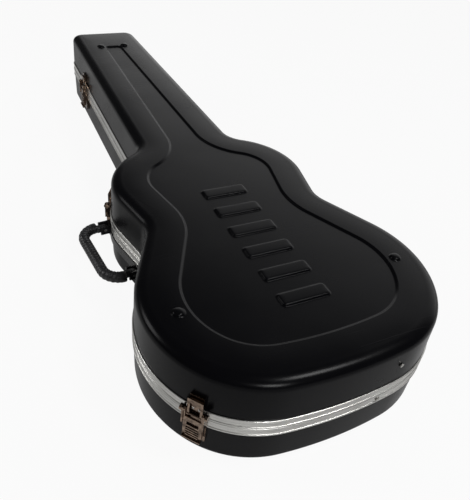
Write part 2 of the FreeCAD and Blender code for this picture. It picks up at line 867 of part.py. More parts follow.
def build_latch(name, point, outward):
    frame = local_frame(point, outward)
    half = ("-dim.latch_half", "dim.latch_half")

    # plate on the base half, with an ear at each side
    plate = block(
        f"{name}_plate_flat", half, ("-8", "dim.latch_plate"),
        ("dim.latch_low", f"{BASE_TOP} - 0.5"),
    )
    ears = both_sides(
        f"{name}_ear", EAR_IN, "dim.latch_half", ("dim.latch_ear_in", "dim.latch_ear_out"),
        ("dim.latch_ear_low", f"{PIVOT_UP} + dim.lever_cheek_radius"),
    )
    rough = join(f"{name}_plate_rough", [plate] + ears)
    seat = wall_tool(f"{name}_plate_seat", frame, SKIN, 0.0, STRIP_LOW)
    bore = rod(
        f"{name}_plate_bore", "dim.latch_pivot_radius",
        ("-dim.latch_half - 1", "dim.latch_half + 1"), PIVOT_OUT, PIVOT_UP,
    )
    piece = cut(f"{name}_plate_cut", cut(f"{name}_plate_seated", rough, seat), bore)
    piece.Placement = frame
    keep(piece, f"{name}_plate")

    # stub pivots with a round barrel outside each ear
    stub_end = "(dim.latch_half - dim.latch_pivot_length)"
    barrel_end = "(dim.latch_half + dim.latch_barrel_length)"
    for side, stub, barrel in (
        ("front", (f"-dim.latch_half", f"-{stub_end}"), (f"-{barrel_end}", "-dim.latch_half")),
        ("rear", (stub_end, "dim.latch_half"), ("dim.latch_half", barrel_end)),
    ):
        pivot = join(f"{name}_pivot_{side}_join", [
            rod(f"{name}_stub_{side}", "dim.latch_pivot_radius", stub, PIVOT_OUT, PIVOT_UP),
            rod(f"{name}_barrel_{side}", "dim.latch_barrel_radius", barrel, PIVOT_OUT, PIVOT_UP),
        ])
        pivot.Placement = frame
        keep(pivot, f"{name}_pivot_{side}")

    # lever: slotted plate with finger ribs, cheeks up to the pivots
    front = "dim.lever_front"
    behind = "(dim.lever_front - dim.lever_thick)"
    cheeks = both_sides(
        f"{name}_cheek", CHEEK_IN, CHEEK_OUT, ("dim.lever_back", front),
        ("dim.lever_low + 6", PIVOT_UP),
    )
    eyes = [
        rod(f"{name}_eye_a", "dim.lever_cheek_radius", (f"-{CHEEK_OUT}", f"-{CHEEK_IN}"),
            PIVOT_OUT, PIVOT_UP),
        rod(f"{name}_eye_b", "dim.lever_cheek_radius", (CHEEK_IN, CHEEK_OUT),
            PIVOT_OUT, PIVOT_UP),
    ]
    flat = block(
        f"{name}_lever_flat", (f"-{CHEEK_OUT}", CHEEK_OUT), (behind, front),
        ("dim.lever_low", "dim.lever_plate_top"),
    )
    lip = block(
        f"{name}_lever_lip", (f"-{CHEEK_OUT}", CHEEK_OUT), (behind, f"{front} + dim.lever_lip"),
        ("dim.lever_low", "dim.lever_low + dim.lever_thick"),
    )
    ribs = []
    for number in range(int(size("lever_rib_count"))):
        low = f"dim.lever_rib_low + {number} * dim.lever_rib_pitch"
        ribs.append(block(
            f"{name}_lever_rib_{number}", ("-dim.lever_rib_half", "dim.lever_rib_half"),
            (behind, f"{front} + dim.lever_rib_height"), (low, f"{low} + dim.lever_rib_width"),
        ))
    rough = join(f"{name}_lever_rough", [flat, lip] + cheeks + eyes + ribs)
    slot = block(
        f"{name}_lever_slot", ("-dim.lever_slot_half", "dim.lever_slot_half"),
        (f"{behind} - 1", f"{front} + 1"), ("dim.lever_slot_low", "dim.lever_slot_high"),
    )
    bore = rod(
        f"{name}_lever_bore", "dim.latch_pivot_radius + dim.pin_clearance",
        ("-dim.latch_half", "dim.latch_half"), PIVOT_OUT, PIVOT_UP,
    )
    pin_bore = rod(
        f"{name}_lever_pin_bore", "dim.bail_pin_radius", ("-dim.latch_half", "dim.latch_half"),
        "dim.bail_pin_out", BAIL_UP,
    )
    holes = join(f"{name}_lever_holes", [slot, bore, pin_bore])
    lever = cut(f"{name}_lever_cut", rough, holes)
    lever.Placement = frame
    keep(lever, f"{name}_lever")

    pin = rod(
        f"{name}_bail_pin_rod", "dim.bail_pin_radius", (f"-{CHEEK_OUT}", CHEEK_OUT),
        "dim.bail_pin_out", BAIL_UP,
    )
    holder = join(f"{name}_bail_pin_join", [pin, rod(
        f"{name}_bail_pin_core", "dim.bail_pin_radius / 2", (f"-{CHEEK_OUT}", CHEEK_OUT),
        "dim.bail_pin_out", BAIL_UP,
    )])
    holder.Placement = frame
    keep(holder, f"{name}_bail_pin")

    # bail: two arms and a bar that lies over the catch
    out_span = (
        "dim.bail_pin_out - dim.bail_thick / 2", "dim.bail_pin_out + dim.bail_thick / 2"
    )
    arms = both_sides(
        f"{name}_bail_arm", f"{BAIL_HALF} - dim.bail_arm", BAIL_HALF, out_span,
        (BAIL_UP, "dim.bail_bar_high"),
    )
    bar = block(
        f"{name}_bail_bar", (f"-{BAIL_HALF}", BAIL_HALF), out_span,
        ("dim.bail_bar_low", "dim.bail_bar_high"),
    )
    eyes = [
        rod(f"{name}_bail_eye_a", "dim.bail_eye_radius",
            (f"-{BAIL_HALF}", f"-({BAIL_HALF} - dim.bail_arm)"), "dim.bail_pin_out", BAIL_UP),
        rod(f"{name}_bail_eye_b", "dim.bail_eye_radius",
            (f"{BAIL_HALF} - dim.bail_arm", BAIL_HALF), "dim.bail_pin_out", BAIL_UP),
    ]
    rough = join(f"{name}_bail_rough", arms + [bar] + eyes)
    bore = rod(
        f"{name}_bail_bore", "dim.bail_pin_radius + dim.pin_clearance",
        ("-dim.latch_half", "dim.latch_half"), "dim.bail_pin_out", BAIL_UP,
    )
    bail = cut(f"{name}_bail_cut", rough, bore)
    bail.Placement = frame
    keep(bail, f"{name}_bail")

    # catch on the lid half
    back = block(
        f"{name}_catch_flat", ("-dim.catch_half", "dim.catch_half"), ("-8", "dim.catch_plate"),
        (f"{LID_LOW} + 1.3", "dim.catch_high"),
    )
    lip = block(
        f"{name}_catch_lip", ("-dim.catch_half", "dim.catch_half"), ("0", "dim.catch_lip_out"),
        ("dim.catch_lip_low", "dim.catch_lip_high"),
    )
    rough = join(f"{name}_catch_rough", [back, lip])
    seat = wall_tool(f"{name}_catch_seat", frame, 0.0, SKIN, STRIP_HIGH)
    catch = cut(f"{name}_catch_cut", rough, seat)
    catch.Placement = frame
    keep(catch, f"{name}_catch")


def left_side(centre, radius, angle):
    """Point and outward normal on an arc of the handle side."""
    outward = mirror(direction(math.radians(angle)))
    return mirror(centre) + outward * radius, outward


build_latch("latch_corner", *left_side(CORNER[0], CORNER[1], size("latch_corner_angle")))
build_latch("latch_bout", *left_side(UPPER[0], UPPER[1], size("latch_bout_angle")))
neck_y = from_head("latch_neck_gap")
build_latch("latch_neck", Vector(-half_width_at(neck_y), neck_y, 0), mirror(NECK_OUT))


# ---------------------------------------------------------------- carrying handle
handle_y = along("waist_along") + size("handle_above_waist")
reach_y = size("handle_pitch") / 2
point_low = Vector(-half_width_at(handle_y - reach_y), handle_y - reach_y, 0)
point_high = Vector(-half_width_at(handle_y + reach_y), handle_y + reach_y, 0)
chord = (point_high - point_low).normalize()
HANDLE_OUT = Vector(-chord.y, chord.x, 0)
HANDLE_FRAME = local_frame((point_low + point_high) * 0.5, HANDLE_OUT)
AXIS_OUT = "dim.handle_axis_out"
HANDLE_UP = "dim.handle_axis_up"

plate_thick = size("handle_plate_thick")
plate_outside = SKIN - plate_thick
low = size("handle_plate_low")
high = STRIP_LOW - 0.2
ring = outline_prism(plate_outside, low, high).cut(outline_prism(SKIN, low - 1, high + 1))
ring.Placement = HANDLE_FRAME.inverse().multiply(ring.Placement)
plate_ring = doc.addObject("Part::Feature", "handle_plate_ring")
plate_ring.Shape = ring
plate_box = block(
    "handle_plate_box", ("-dim.handle_plate_half", "dim.handle_plate_half"), ("-40", "40"),
    ("dim.handle_plate_low", "dim.base_height"),
)
handle_plate = doc.addObject("Part::Common", "handle_plate_common")
handle_plate.Base = plate_ring
handle_plate.Tool = plate_box
handle_plate.Placement = HANDLE_FRAME
keep(handle_plate, "handle_plate")

for place, side in (("front", "-"), ("rear", "")):
    centre = f"{side}dim.handle_pitch / 2"
    inner = "(dim.handle_eye_half + dim.side_clearance)"
    outer = f"({inner} + dim.handle_ear_thick)"
    rise = (f"{HANDLE_UP} - dim.handle_ear_half", f"{HANDLE_UP} + dim.handle_ear_half")
    foot = block(
        f"bracket_{place}_foot", (f"{centre} - {outer}", f"{centre} + {outer}"),
        ("-15", "dim.handle_foot_out"), ("dim.handle_plate_low + 1", rise[1]),
    )
    out = ("-15", f"{AXIS_OUT} + dim.handle_ear_half")
    ear_a = block(
        f"bracket_{place}_ear_a", (f"{centre} - {outer}", f"{centre} - {inner}"), out, rise
    )
    ear_b = block(
        f"bracket_{place}_ear_b", (f"{centre} + {inner}", f"{centre} + {outer}"), out, rise
    )
    rough = join(f"bracket_{place}_rough", [foot, ear_a, ear_b])
    seat = wall_tool(
        f"bracket_{place}_seat", HANDLE_FRAME, plate_outside, plate_outside, STRIP_LOW
    )
    pin_span = (f"{centre} - {outer}", f"{centre} + {outer}")
    bore = rod(f"bracket_{place}_bore", "dim.handle_pin_radius", pin_span, AXIS_OUT, HANDLE_UP)
    bracket = cut(
        f"bracket_{place}_cut", cut(f"bracket_{place}_seated", rough, seat), bore
    )
    bracket.Placement = HANDLE_FRAME
    keep(bracket, f"handle_bracket_{place}")
    head_span = (f"{centre} + {outer}", f"{centre} + {outer} + 1.5")
    pin = join(f"handle_pin_{place}_join", [
        rod(f"handle_pin_{place}_rod", "dim.handle_pin_radius", pin_span, AXIS_OUT, HANDLE_UP),
        rod(f"handle_pin_{place}_head", "dim.handle_pin_radius + 1", head_span,
            AXIS_OUT, HANDLE_UP),
    ])
    pin.Placement = HANDLE_FRAME
    keep(pin, f"handle_pin_{place}")

# grip: a round bar swept out of one bracket, along the case and back into the other
leg = size("handle_leg_half")
bend = size("handle_bend")
axis_out = size("handle_axis_out")
axis_up = size("handle_axis_up")
far = axis_out + size("handle_reach")
near = axis_out + size("handle_leg_start")
slope = math.sqrt(0.5)
corner_a = Vector(-leg + bend, far - bend, axis_up)
corner_b = Vector(leg - bend, far - bend, axis_up)
path = Part.Wire([
    Part.LineSegment(Vector(-leg, near, axis_up), Vector(-leg, far - bend, axis_up)).toShape(),
    Part.Arc(
        Vector(-leg, far - bend, axis_up),
        corner_a + Vector(-slope, slope, 0) * bend,
        Vector(-leg + bend, far, axis_up),
    ).toShape(),
    Part.LineSegment(
        Vector(-leg + bend, far, axis_up), Vector(leg - bend, far, axis_up)
    ).toShape(),
    Part.Arc(
        Vector(leg - bend, far, axis_up),
        corner_b + Vector(slope, slope, 0) * bend,
        Vector(leg, far - bend, axis_up),
    ).toShape(),
    Part.LineSegment(Vector(leg, far - bend, axis_up), Vector(leg, near, axis_up)).toShape(),
])
section = Part.Wire([
    Part.Circle(
        Vector(-leg, near, axis_up), Vector(0, 1, 0), size("handle_grip_radius")
    ).toShape()
])
grip_bar = doc.addObject("Part::Feature", "grip_bar")
grip_bar.Shape = path.makePipeShell([section], True, False)
roots = []
for place, side in (("front", "-"), ("rear", "")):
    centre = f"{side}dim.handle_pitch / 2"
    span = (f"{centre} - dim.handle_eye_half", f"{centre} + dim.handle_eye_half")
    roots.append(rod(f"grip_eye_{place}", "dim.handle_eye_radius", span, AXIS_OUT, HANDLE_UP))
    roots.append(block(
        f"grip_root_{place}", span, (AXIS_OUT, f"{AXIS_OUT} + dim.handle_leg_start + 4"),
        (f"{HANDLE_UP} - dim.handle_root_thick / 2", f"{HANDLE_UP} + dim.handle_root_thick / 2"),
    ))
grip_rough = join("grip_rough", [grip_bar] + roots)
grip_bore = rod(
    "grip_bore", "dim.handle_pin_radius + dim.pin_clearance",
    ("-dim.handle_plate_half", "dim.handle_plate_half"), AXIS_OUT, HANDLE_UP,
)
grip = cut("grip_cut", grip_rough, grip_bore)
grip.Placement = HANDLE_FRAME
keep(grip, "handle_grip")


# ---------------------------------------------------------------- rivets at the butt end
def build_rivet(name, across, up, inset):
    """Domed rivet head standing on the butt wall."""
    butt_centre, butt_radius = BUTT
    angle = -math.acos(size(across) / butt_radius)
    outward = direction(angle)
    face = butt_centre + outward * (butt_radius - inset)
    head = doc.addObject("Part::Cylinder", name + "_head")
    head.setExpression("Radius", "dim.rivet_radius")
    head.setExpression("Height", "dim.rivet_head")
    head.Placement = Placement(
        Vector(face.x, face.y, size(up)), Rotation(Vector(0, 0, 1), outward)
    )
    keep(head, name)


build_rivet("strip_rivet", "rivet_strip_across", "rivet_strip_up", 0.0)
build_rivet("skirt_rivet", "rivet_skirt_across", "rivet_skirt_up", SKIN)

# ---------------------------------------------------------------- check and write
doc.recompute()
for thing in doc.Objects:
    if "Invalid" in thing.State or "Error" in thing.State:
        raise RuntimeError(f"{thing.Name} failed: {thing.State}")
for thing in NODES:
    shape = thing.Shape
    if shape.isNull() or not shape.isValid() or shape.Volume <= 0:
        raise RuntimeError(f"{thing.Label} has no valid solid")
    if len(shape.Solids) != 1:
        raise RuntimeError(f"{thing.Label} has {len(shape.Solids)} solids")
for thing in NODES:
    thing.Shape.exportStep(f"parts/{thing.Label}.step")
    print(thing.Label, round(thing.Shape.Volume / 1000, 2), "cm3")
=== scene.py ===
import json
import math

import bmesh
import bpy
import numpy as np
from mathutils import Matrix


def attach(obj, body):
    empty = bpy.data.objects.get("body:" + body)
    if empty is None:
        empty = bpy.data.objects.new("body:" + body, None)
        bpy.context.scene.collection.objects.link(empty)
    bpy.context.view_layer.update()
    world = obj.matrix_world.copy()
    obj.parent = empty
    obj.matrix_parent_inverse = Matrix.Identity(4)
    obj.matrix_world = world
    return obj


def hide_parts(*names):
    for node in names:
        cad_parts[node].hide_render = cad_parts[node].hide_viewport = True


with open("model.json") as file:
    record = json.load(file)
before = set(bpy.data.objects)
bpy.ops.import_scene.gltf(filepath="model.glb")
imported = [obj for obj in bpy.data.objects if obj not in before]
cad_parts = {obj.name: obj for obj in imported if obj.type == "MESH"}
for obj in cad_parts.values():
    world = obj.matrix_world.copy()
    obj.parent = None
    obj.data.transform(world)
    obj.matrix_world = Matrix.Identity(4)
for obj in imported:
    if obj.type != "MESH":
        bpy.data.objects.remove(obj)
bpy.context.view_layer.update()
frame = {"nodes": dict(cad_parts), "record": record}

bl_info = {
    "name": "Hard guitar case",
    "version": (1, 0, 0),
    "blender": (4, 5, 0),
    "location": "3D View > Sidebar > Guitar case",
    "description": "Moulded case with aluminium strip, draw latches, handle and plush padding",
    "category": "Add Mesh",
}

MM = 0.001
HEIGHT = 149 * MM  # of the closed case, from border to border
PANEL_DEPTH = 3 * MM
PARTING = 71 * MM  # height of the line where the two strips meet
SKIN_BACK = 1.5 * MM  # how far the skins lie behind the strip's outer face
# the border is highest at this share of its width, and then loses this share of its crown
CREST_AT, CREST_FALL = 0.6, 0.35

# Outline of the strip's outer face, right half from butt to head, in millimetres:
# centre across, centre along, radius. A hollow arc has a negative radius.
ARCS = np.array([
    (0.0, 74.7, 618.7),
    (60.0830, -396.1823, 144.0),
    (41.1, -382.5, 167.4),
    (197.0, -211.3, -48.5),
    (45.4, -119.2, 118.7),
    (126.3097, 16.0457, -38.9),
    (49.0174, 517.4, 26.6),
])
# direction that the wall faces at the arcs' ends, in degrees from across
TURNS = np.radians([-90.0, -82.72854, -35.78270, 26.49361, -11.77059, 59.11036, 1.34534, 90.0])
ARC_FACES = (26, 46, 60, 28, 54, 30, 26)
RUN_FACES = (0, 0, 12, 8, 0, 36, 6)
PANEL_INSET = 60.0
PANEL_CORNER = (7.5171, 436.0, 10.0)

LATCHES = {
    # foot on the strip's outer face, and the way that the wall faces there, in degrees
    "corner": ((-172.622, -486.020), 218.600),
    "bout": ((-147.146, -58.065), 149.000),
    "neck": ((-78.364, 401.000), 178.655),
}


# ---------------------------------------------------------------- sizes and colours
def length(name, description, default):
    """A length that can be set, in metres."""
    return bpy.props.FloatProperty(
        name=name, description=description, default=default, unit="LENGTH",
    )


def colour(name, description, default):
    """A colour that can be set, as an sRGB hex code."""
    return bpy.props.StringProperty(
        name=name, description=f"{description}, sRGB hex", default=default,
    )


class CaseSizes(bpy.types.PropertyGroup):
    lid_edge: length("Lid edge", "Width of the rounding between the lid's top and wall", 0.019)
    base_edge: length("Base edge", "Width of the rounding under the base", 0.014)
    crown: length("Border crown", "How far the lid's border falls from its crest", 0.0006)
    draft: length("Draft", "How far the walls lean in over their height", 0.0012)
    bead: length("Strip bead", "Width of the raised bead along each edge of the strip", 0.0028)
    grip_ring: length("Grip ring", "Spacing of the rings moulded round the handle", 0.0062)
    grip_radius: length("Grip radius", "Radius of the handle over its rings", 0.0085)
    pad_swell: length("Pad swell", "How far the foam stands out between its edges", 0.0016)


class CaseColours(bpy.types.PropertyGroup):
    shell: colour("Shell", "Moulded ABS", "#060608")
    shell_worn: colour("Shell scuffs", "Scuffed ABS", "#161618")
    strip: colour("Strip", "Drawn aluminium", "#D2D1CD")
    strip_dull: colour("Strip patches", "Dulled aluminium", "#A9A8A4")
    plating: colour("Latch plating", "Nickel plate", "#A18C7B")
    tarnish: colour("Tarnish", "Dulled nickel plate", "#54453A")
    steel: colour("Steel", "Zinc-plated steel", "#B4B2AD")
    steel_dull: colour("Steel patches", "Dulled zinc plate", "#8D8B86")
    grip: colour("Grip", "Soft vinyl", "#0E0E10")
    grip_worn: colour("Grip patches", "Rubbed vinyl", "#222225")
    paint: colour("Bracket paint", "Black stove enamel", "#101012")
    paint_worn: colour("Paint patches", "Faded enamel", "#1E1E20")
    plush: colour("Plush", "Short-pile plush", "#1B1B20")
    plush_brushed: colour("Brushed plush", "Plush brushed against its pile", "#2C2C33")
    # painted shade: the darker colour that the plush is mixed towards in the hollows between its
    # tufts
    plush_painted_shade: colour("Plush painted shade", "Between the pile's tufts", "#08080A")
    plush_tips: colour("Plush tips", "Light caught by the pile's tips", "#8A8A96")
    floor: colour("Floor", "Pale floor", "#BEBEBE")


# ---------------------------------------------------------------- mesh helpers
def half_walk(arcs):
    """Right half of a line of arcs and straights, as points and outward normals.

    A point of an arc is its centre plus its signed radius times the unit
    normal, whose angle runs evenly between the arc's two turns. Straights
    join one arc's last point to the next one's first.
    """
    points, normals = [], []
    for number, (across, along, radius) in enumerate(arcs):
        angle = np.linspace(TURNS[number], TURNS[number + 1], ARC_FACES[number] + 1)
        facing = np.stack([np.cos(angle), np.sin(angle)], axis=1)
        place = np.array([across, along]) + radius * facing
        if number:
            faces = RUN_FACES[number - 1]
            if faces:
                share = (np.arange(1, faces) / faces)[:, None]
                points.append(points[-1][-1] * (1 - share) + place[0] * share)
                normals.append(np.repeat(facing[:1], faces - 1, axis=0))
            else:
                place, facing = place[1:], facing[1:]
        points.append(place)
        normals.append(facing)
    share = (np.arange(1, RUN_FACES[-1] + 1) / RUN_FACES[-1])[:, None]
    tip = np.array([0.0, points[-1][-1][1]])
    points.append(points[-1][-1] * (1 - share) + tip * share)
    normals.append(np.repeat(np.array([[0.0, 1.0]]), RUN_FACES[-1], axis=0))
    return np.concatenate(points) * MM, np.concatenate(normals)


def whole(half, flip):
    """A half line closed by its own mirror image, the two shared ends kept once."""
    return np.concatenate([half, half[-2:0:-1] * flip])


def case_loop():
    """The case's outline, the sunk panel's line and the middle line, column by column."""
    edge, facing = half_walk(ARCS)
    inner = ARCS.copy()
    inner[:, 2] -= PANEL_INSET
    inner[-1] = PANEL_CORNER
    panel, _ = half_walk(inner)
    low, high = panel[0, 1] + 0.11, panel[-1, 1] - 0.012
    middle = np.stack([np.zeros(len(panel)), np.clip(panel[:, 1], low, high)], axis=1)
    flip = np.array([-1.0, 1.0])
    return {
        "edge": whole(edge, flip), "facing": whole(facing, flip),
        "panel": whole(panel, flip), "middle": whole(middle, flip),
    }


def round_loop(across, along, half_x, half_y, corner, faces=10):
    """A rectangle with round corners, walked anticlockwise, and its middle line.

    Each corner is a quarter circle; the middle line is the point of each
    column moved onto the longer centre line.
    """
    turn = np.linspace(0, math.pi / 2, faces + 1)
    points, normals = [], []
    for number, (sx, sy) in enumerate(((1, -1), (1, 1), (-1, 1), (-1, -1))):
        angle = turn + math.radians(90 * number - 90)
        facing = np.stack([np.cos(angle), np.sin(angle)], axis=1)
        centre = np.array([sx * (half_x - corner), sy * (half_y - corner)])
        points.append(centre + corner * facing)
        normals.append(facing)
    edge = np.concatenate(points)
    facing = np.concatenate(normals)
    keep = np.linalg.norm(edge - np.roll(edge, 1, axis=0), axis=1) > 1e-7
    edge, facing = edge[keep], facing[keep]
    reach = np.array([max(half_x - half_y, 0), max(half_y - half_x, 0)])
    middle = np.clip(edge, -reach, reach)
    shift = np.array([across, along])
    return {
        "edge": edge + shift, "facing": facing, "panel": edge + shift, "middle": middle + shift,
    }


def dense_loop(loop, every):
    """The same loop with its straights divided so that no face is longer than every."""
    edge = loop["edge"]
    gap = np.linalg.norm(np.roll(edge, -1, axis=0) - edge, axis=1)
    parts = np.maximum(np.ceil(gap / every).astype(int), 1)
    column = np.repeat(np.arange(len(edge)), parts)
    first = np.repeat(np.concatenate([[0], np.cumsum(parts)[:-1]]), parts)
    share = ((np.arange(parts.sum()) - first) / np.repeat(parts, parts))[:, None]
    after = (column + 1) % len(edge)
    out = {
        key: values[column] * (1 - share) + values[after] * share
        for key, values in loop.items()
    }
    out["facing"] = unit(out["facing"])
    return out


def new_piece(name, points, faces, uv=None, sharp=None, weld=False):
    """A mesh object at the origin from arrays of points and faces."""
    mesh = bpy.data.meshes.new(name)
    mesh.from_pydata(points.reshape(-1, 3).tolist(), [], faces.tolist())
    if uv is not None:
        layer = mesh.uv_layers.new(name="UVMap")
        layer.data.foreach_set("uv", uv.astype(np.float32).ravel())
    if weld:
        work = bmesh.new()
        work.from_mesh(mesh)
        bmesh.ops.remove_doubles(work, verts=work.verts, dist=2e-6)
        bmesh.ops.dissolve_degenerate(work, dist=1e-7, edges=work.edges)
        work.to_mesh(mesh)
        work.free()
    mesh.validate()
    mesh.polygons.foreach_set("use_smooth", np.ones(len(mesh.polygons), dtype=bool))
    if sharp is not None:
        mesh.set_sharp_from_angle(angle=math.radians(sharp))
    mesh.update()
    piece = bpy.data.objects.new(name, mesh)
    bpy.context.scene.collection.objects.link(piece)
    return piece


def grid_faces(rows, columns, wrap_rows, wrap_columns):
    """Corner numbers of the faces of a grid of rows and columns, in order."""
    down = np.arange(rows if wrap_rows else rows - 1)
    over = np.arange(columns if wrap_columns else columns - 1)
    row, column = np.meshgrid(down, over, indexing="ij")
    below = (row + 1) % rows
    after = (column + 1) % columns
    corners = [
        row * columns + column, row * columns + after,
        below * columns + after, below * columns + column,
    ]
    return np.stack(corners, axis=-1).reshape(-1, 4)


def carry(name, loop, rows, ring=False, shape=None, sharp=None):
    """Carries a profile round a loop.

    A row of the profile is (inset, panel inset, share of panel, share of
    middle, height). Its points are the loop's edge moved in by the inset,
    mixed with the panel line moved in by the panel inset, and both mixed with
    the middle line. A ring's last row joins its first; otherwise the first
    and last rows close on the middle line. shape may move the points.
    """
    rows = np.array(rows, dtype=float)
    inset, deep, mix, centre, height = (rows[:, k][:, None, None] for k in range(5))
    facing = loop["facing"][None]
    edge = loop["edge"][None] - inset * facing
    panel = loop["panel"][None] - deep * facing
    flat = (1 - centre) * ((1 - mix) * edge + mix * panel) + centre * loop["middle"][None]
    columns = flat.shape[1]
    points = np.concatenate([flat, np.broadcast_to(height, (len(rows), columns, 1))], axis=2)
    if shape is not None:
        points = shape(points)
    faces = grid_faces(len(rows), columns, ring, True)
    uv = None
    if ring:
        step = np.linalg.norm(np.roll(loop["edge"], -1, axis=0) - loop["edge"], axis=1)
        along = np.concatenate([[0], np.cumsum(step)])
        side = rows[:, [0, 4]]
        climb = np.linalg.norm(np.roll(side, -1, axis=0) - side, axis=1)
        across = np.concatenate([[0], np.cumsum(climb)])
        row, column = np.meshgrid(np.arange(len(rows)), np.arange(columns), indexing="ij")
        uv = np.stack([
            np.stack([along[column + over], across[row + down]], axis=-1)
            for over, down in ((0, 0), (1, 0), (1, 1), (0, 1))
        ], axis=2)
    return new_piece(name, points, faces, uv=uv, sharp=sharp, weld=not ring)


def bend_rows(start, end, count, power=2.0):
    """Quarter of a superellipse between two (inset, height) pairs, upright at its start."""
    t = np.linspace(0, math.pi / 2, count)
    out = np.cos(t) ** (2 / power)
    up = np.sin(t) ** (2 / power)
    inset = start[0] + (end[0] - start[0]) * (1 - out)
    height = start[1] + (end[1] - start[1]) * up
    return np.stack([inset, height], axis=1)


def unit(vectors):
    """The same directions, each of length one."""
    return vectors / np.linalg.norm(vectors, axis=-1, keepdims=True)


def smooth(value):
    """Smooth step from 0 to 1 with level ends."""
    value = np.clip(value, 0, 1)
    return value * value * value * (value * (6 * value - 15) + 10)


def ripple(points, size, seed):
    """Gentle unevenness: a sum of sine waves in fixed directions, about -1 to 1."""
    waves, turn = 5, 6.28
    rng = np.random.default_rng(seed)
    total = np.zeros(points.shape[:-1])
    for _ in range(waves):
        way = rng.normal(size=3)
        way *= 2 * math.pi / (size * rng.uniform(0.7, 1.5)) / np.linalg.norm(way)
        total = total + np.sin(points @ way + rng.uniform(0, turn))
    return total / 3


# ---------------------------------------------------------------- material helpers
def linear(code):
    """sRGB hex colour to linear RGBA."""
    value = np.array([int(code[k:k + 2], 16) for k in (1, 3, 5)]) / 255
    value = np.where(value <= 0.04045, value / 12.92, ((value + 0.055) / 1.055) ** 2.4)
    return (*(float(v) for v in value), 1.0)


def add(tree, kind, links=None, **settings):
    """Adds a shader node; links gives each input a value or a (node, output)."""
    node = tree.nodes.new(f"ShaderNode{kind}")
    for key, value in settings.items():
        setattr(node, key, value)
    for key, value in (links or {}).items():
        if isinstance(value, tuple) and isinstance(value[0], bpy.types.Node):
            tree.links.new(value[0].outputs[value[1]], node.inputs[key])
        else:
            node.inputs[key].default_value = value
    return node


def finish_material(name, shader_values, build):
    """A material with one Principled shader.

    build gets the tree and the places on the piece, in space and unrolled,
    and adds the nodes that feed the shader.
    """
    material = bpy.data.materials.new(name)
    material.use_nodes = True
    tree = material.node_tree
    tree.nodes.clear()
    place = add(tree, "TexCoord")
    shader = add(tree, "BsdfPrincipled", shader_values)
    out = add(tree, "OutputMaterial", {"Surface": (shader, 0)})
    out.is_active_output = True
    for key, source in build(tree, (place, "Object"), (place, "UV")).items():
        tree.links.new(source[0].outputs[source[1]], shader.inputs[key])
    return material


def mottle(tree, vector, scale, detail=4.0, roughness=0.55):
    """Noise of that scale, in cycles a metre."""
    return add(tree, "TexNoise", {
        "Vector": vector, "Scale": scale, "Detail": detail, "Roughness": roughness,
    })


def ramp(tree, source, low, high, out_low, out_high):
    """Turns a value's range into another, clamped."""
    return add(tree, "MapRange", {
        "Value": source, "From Min": low, "From Max": high, "To Min": out_low, "To Max": out_high,
    })


def blend_colour(tree, share, first, second):
    """Mixes two colours by a share."""
    return add(tree, "Mix", {0: share, 6: first, 7: second}, data_type="RGBA")


def calculate(tree, operation, first, second):
    """Sum, product or larger of two values."""
    return add(tree, "Math", {0: first, 1: second}, operation=operation)


def patched(tree, source, low, high, most, first, second):
    """Goes from the first colour towards the second where the source is high."""
    share = ramp(tree, (source, 0), low, high, 0.0, most)
    return blend_colour(tree, (share, 0), linear(first), linear(second))


def relief(tree, source, strength, distance, under=None):
    """Bump of that strength and height in metres, over another bump if one is given."""
    links = {"Strength": strength, "Distance": distance, "Height": (source, 0)}
    if under is not None:
        links["Normal"] = (under, 0)
    return add(tree, "Bump", links)


def coat(tone, rough, bump):
    """What feeds a shader: colour, roughness and normal."""
    return {"Base Color": (tone, 2), "Roughness": (rough, 0), "Normal": (bump, 0)}


def moulded_abs(colours):
    # ABS sheet, vacuum-formed over a fine-grained tool: near black, with a broad soft
    # gloss, a haircell grain and dull hairline scuffs from handling.
    def build(tree, where, _):
        # scuffs: thin streaks 150 mm long and about 1 mm wide, in two directions
        marks = []
        for turn, stretch in ((0.5, (7.0, 900.0, 7.0)), (-1.1, (5.0, 700.0, 5.0))):
            spread = add(tree, "Mapping", {
                "Vector": where, "Rotation": (0.0, 0.0, turn), "Scale": stretch,
            })
            streak = mottle(tree, (spread, 0), 1.0, 2.0, 0.4)
            marks.append((ramp(tree, (streak, 0), 0.70, 0.78, 0.0, 1.0), 0))
        zone = ramp(tree, (mottle(tree, where, 5.0), 0), 0.5, 0.7, 0.0, 1.0)
        both = calculate(tree, "MAXIMUM", *marks)
        scuff = calculate(tree, "MULTIPLY", (both, 0), (zone, 0))
        tone = blend_colour(tree, (scuff, 0), linear(colours.shell), linear(colours.shell_worn))
        gloss = ramp(tree, (mottle(tree, where, 9.0), 0), 0.3, 0.7, 0.20, 0.29)
        dull = calculate(tree, "MULTIPLY", (scuff, 0), 0.22)
        rough = calculate(tree, "ADD", (gloss, 0), (dull, 0))
        # the real grain is about 0.4 mm; it is drawn at 1.3 mm so that it shows
        grain = add(tree, "TexVoronoi", {"Vector": where, "Scale": 760.0})
        # the grain lies on the sheet's slight unevenness, about 120 mm long
        slow = mottle(tree, where, 8.0, 1.0)
        wave = relief(tree, slow, 0.22, 0.003, relief(tree, grain, 0.05, 0.0002))
        return coat(tone, rough, wave)
    return finish_material("moulded_abs", {"IOR": 1.49, "Specular IOR Level": 0.08}, build)


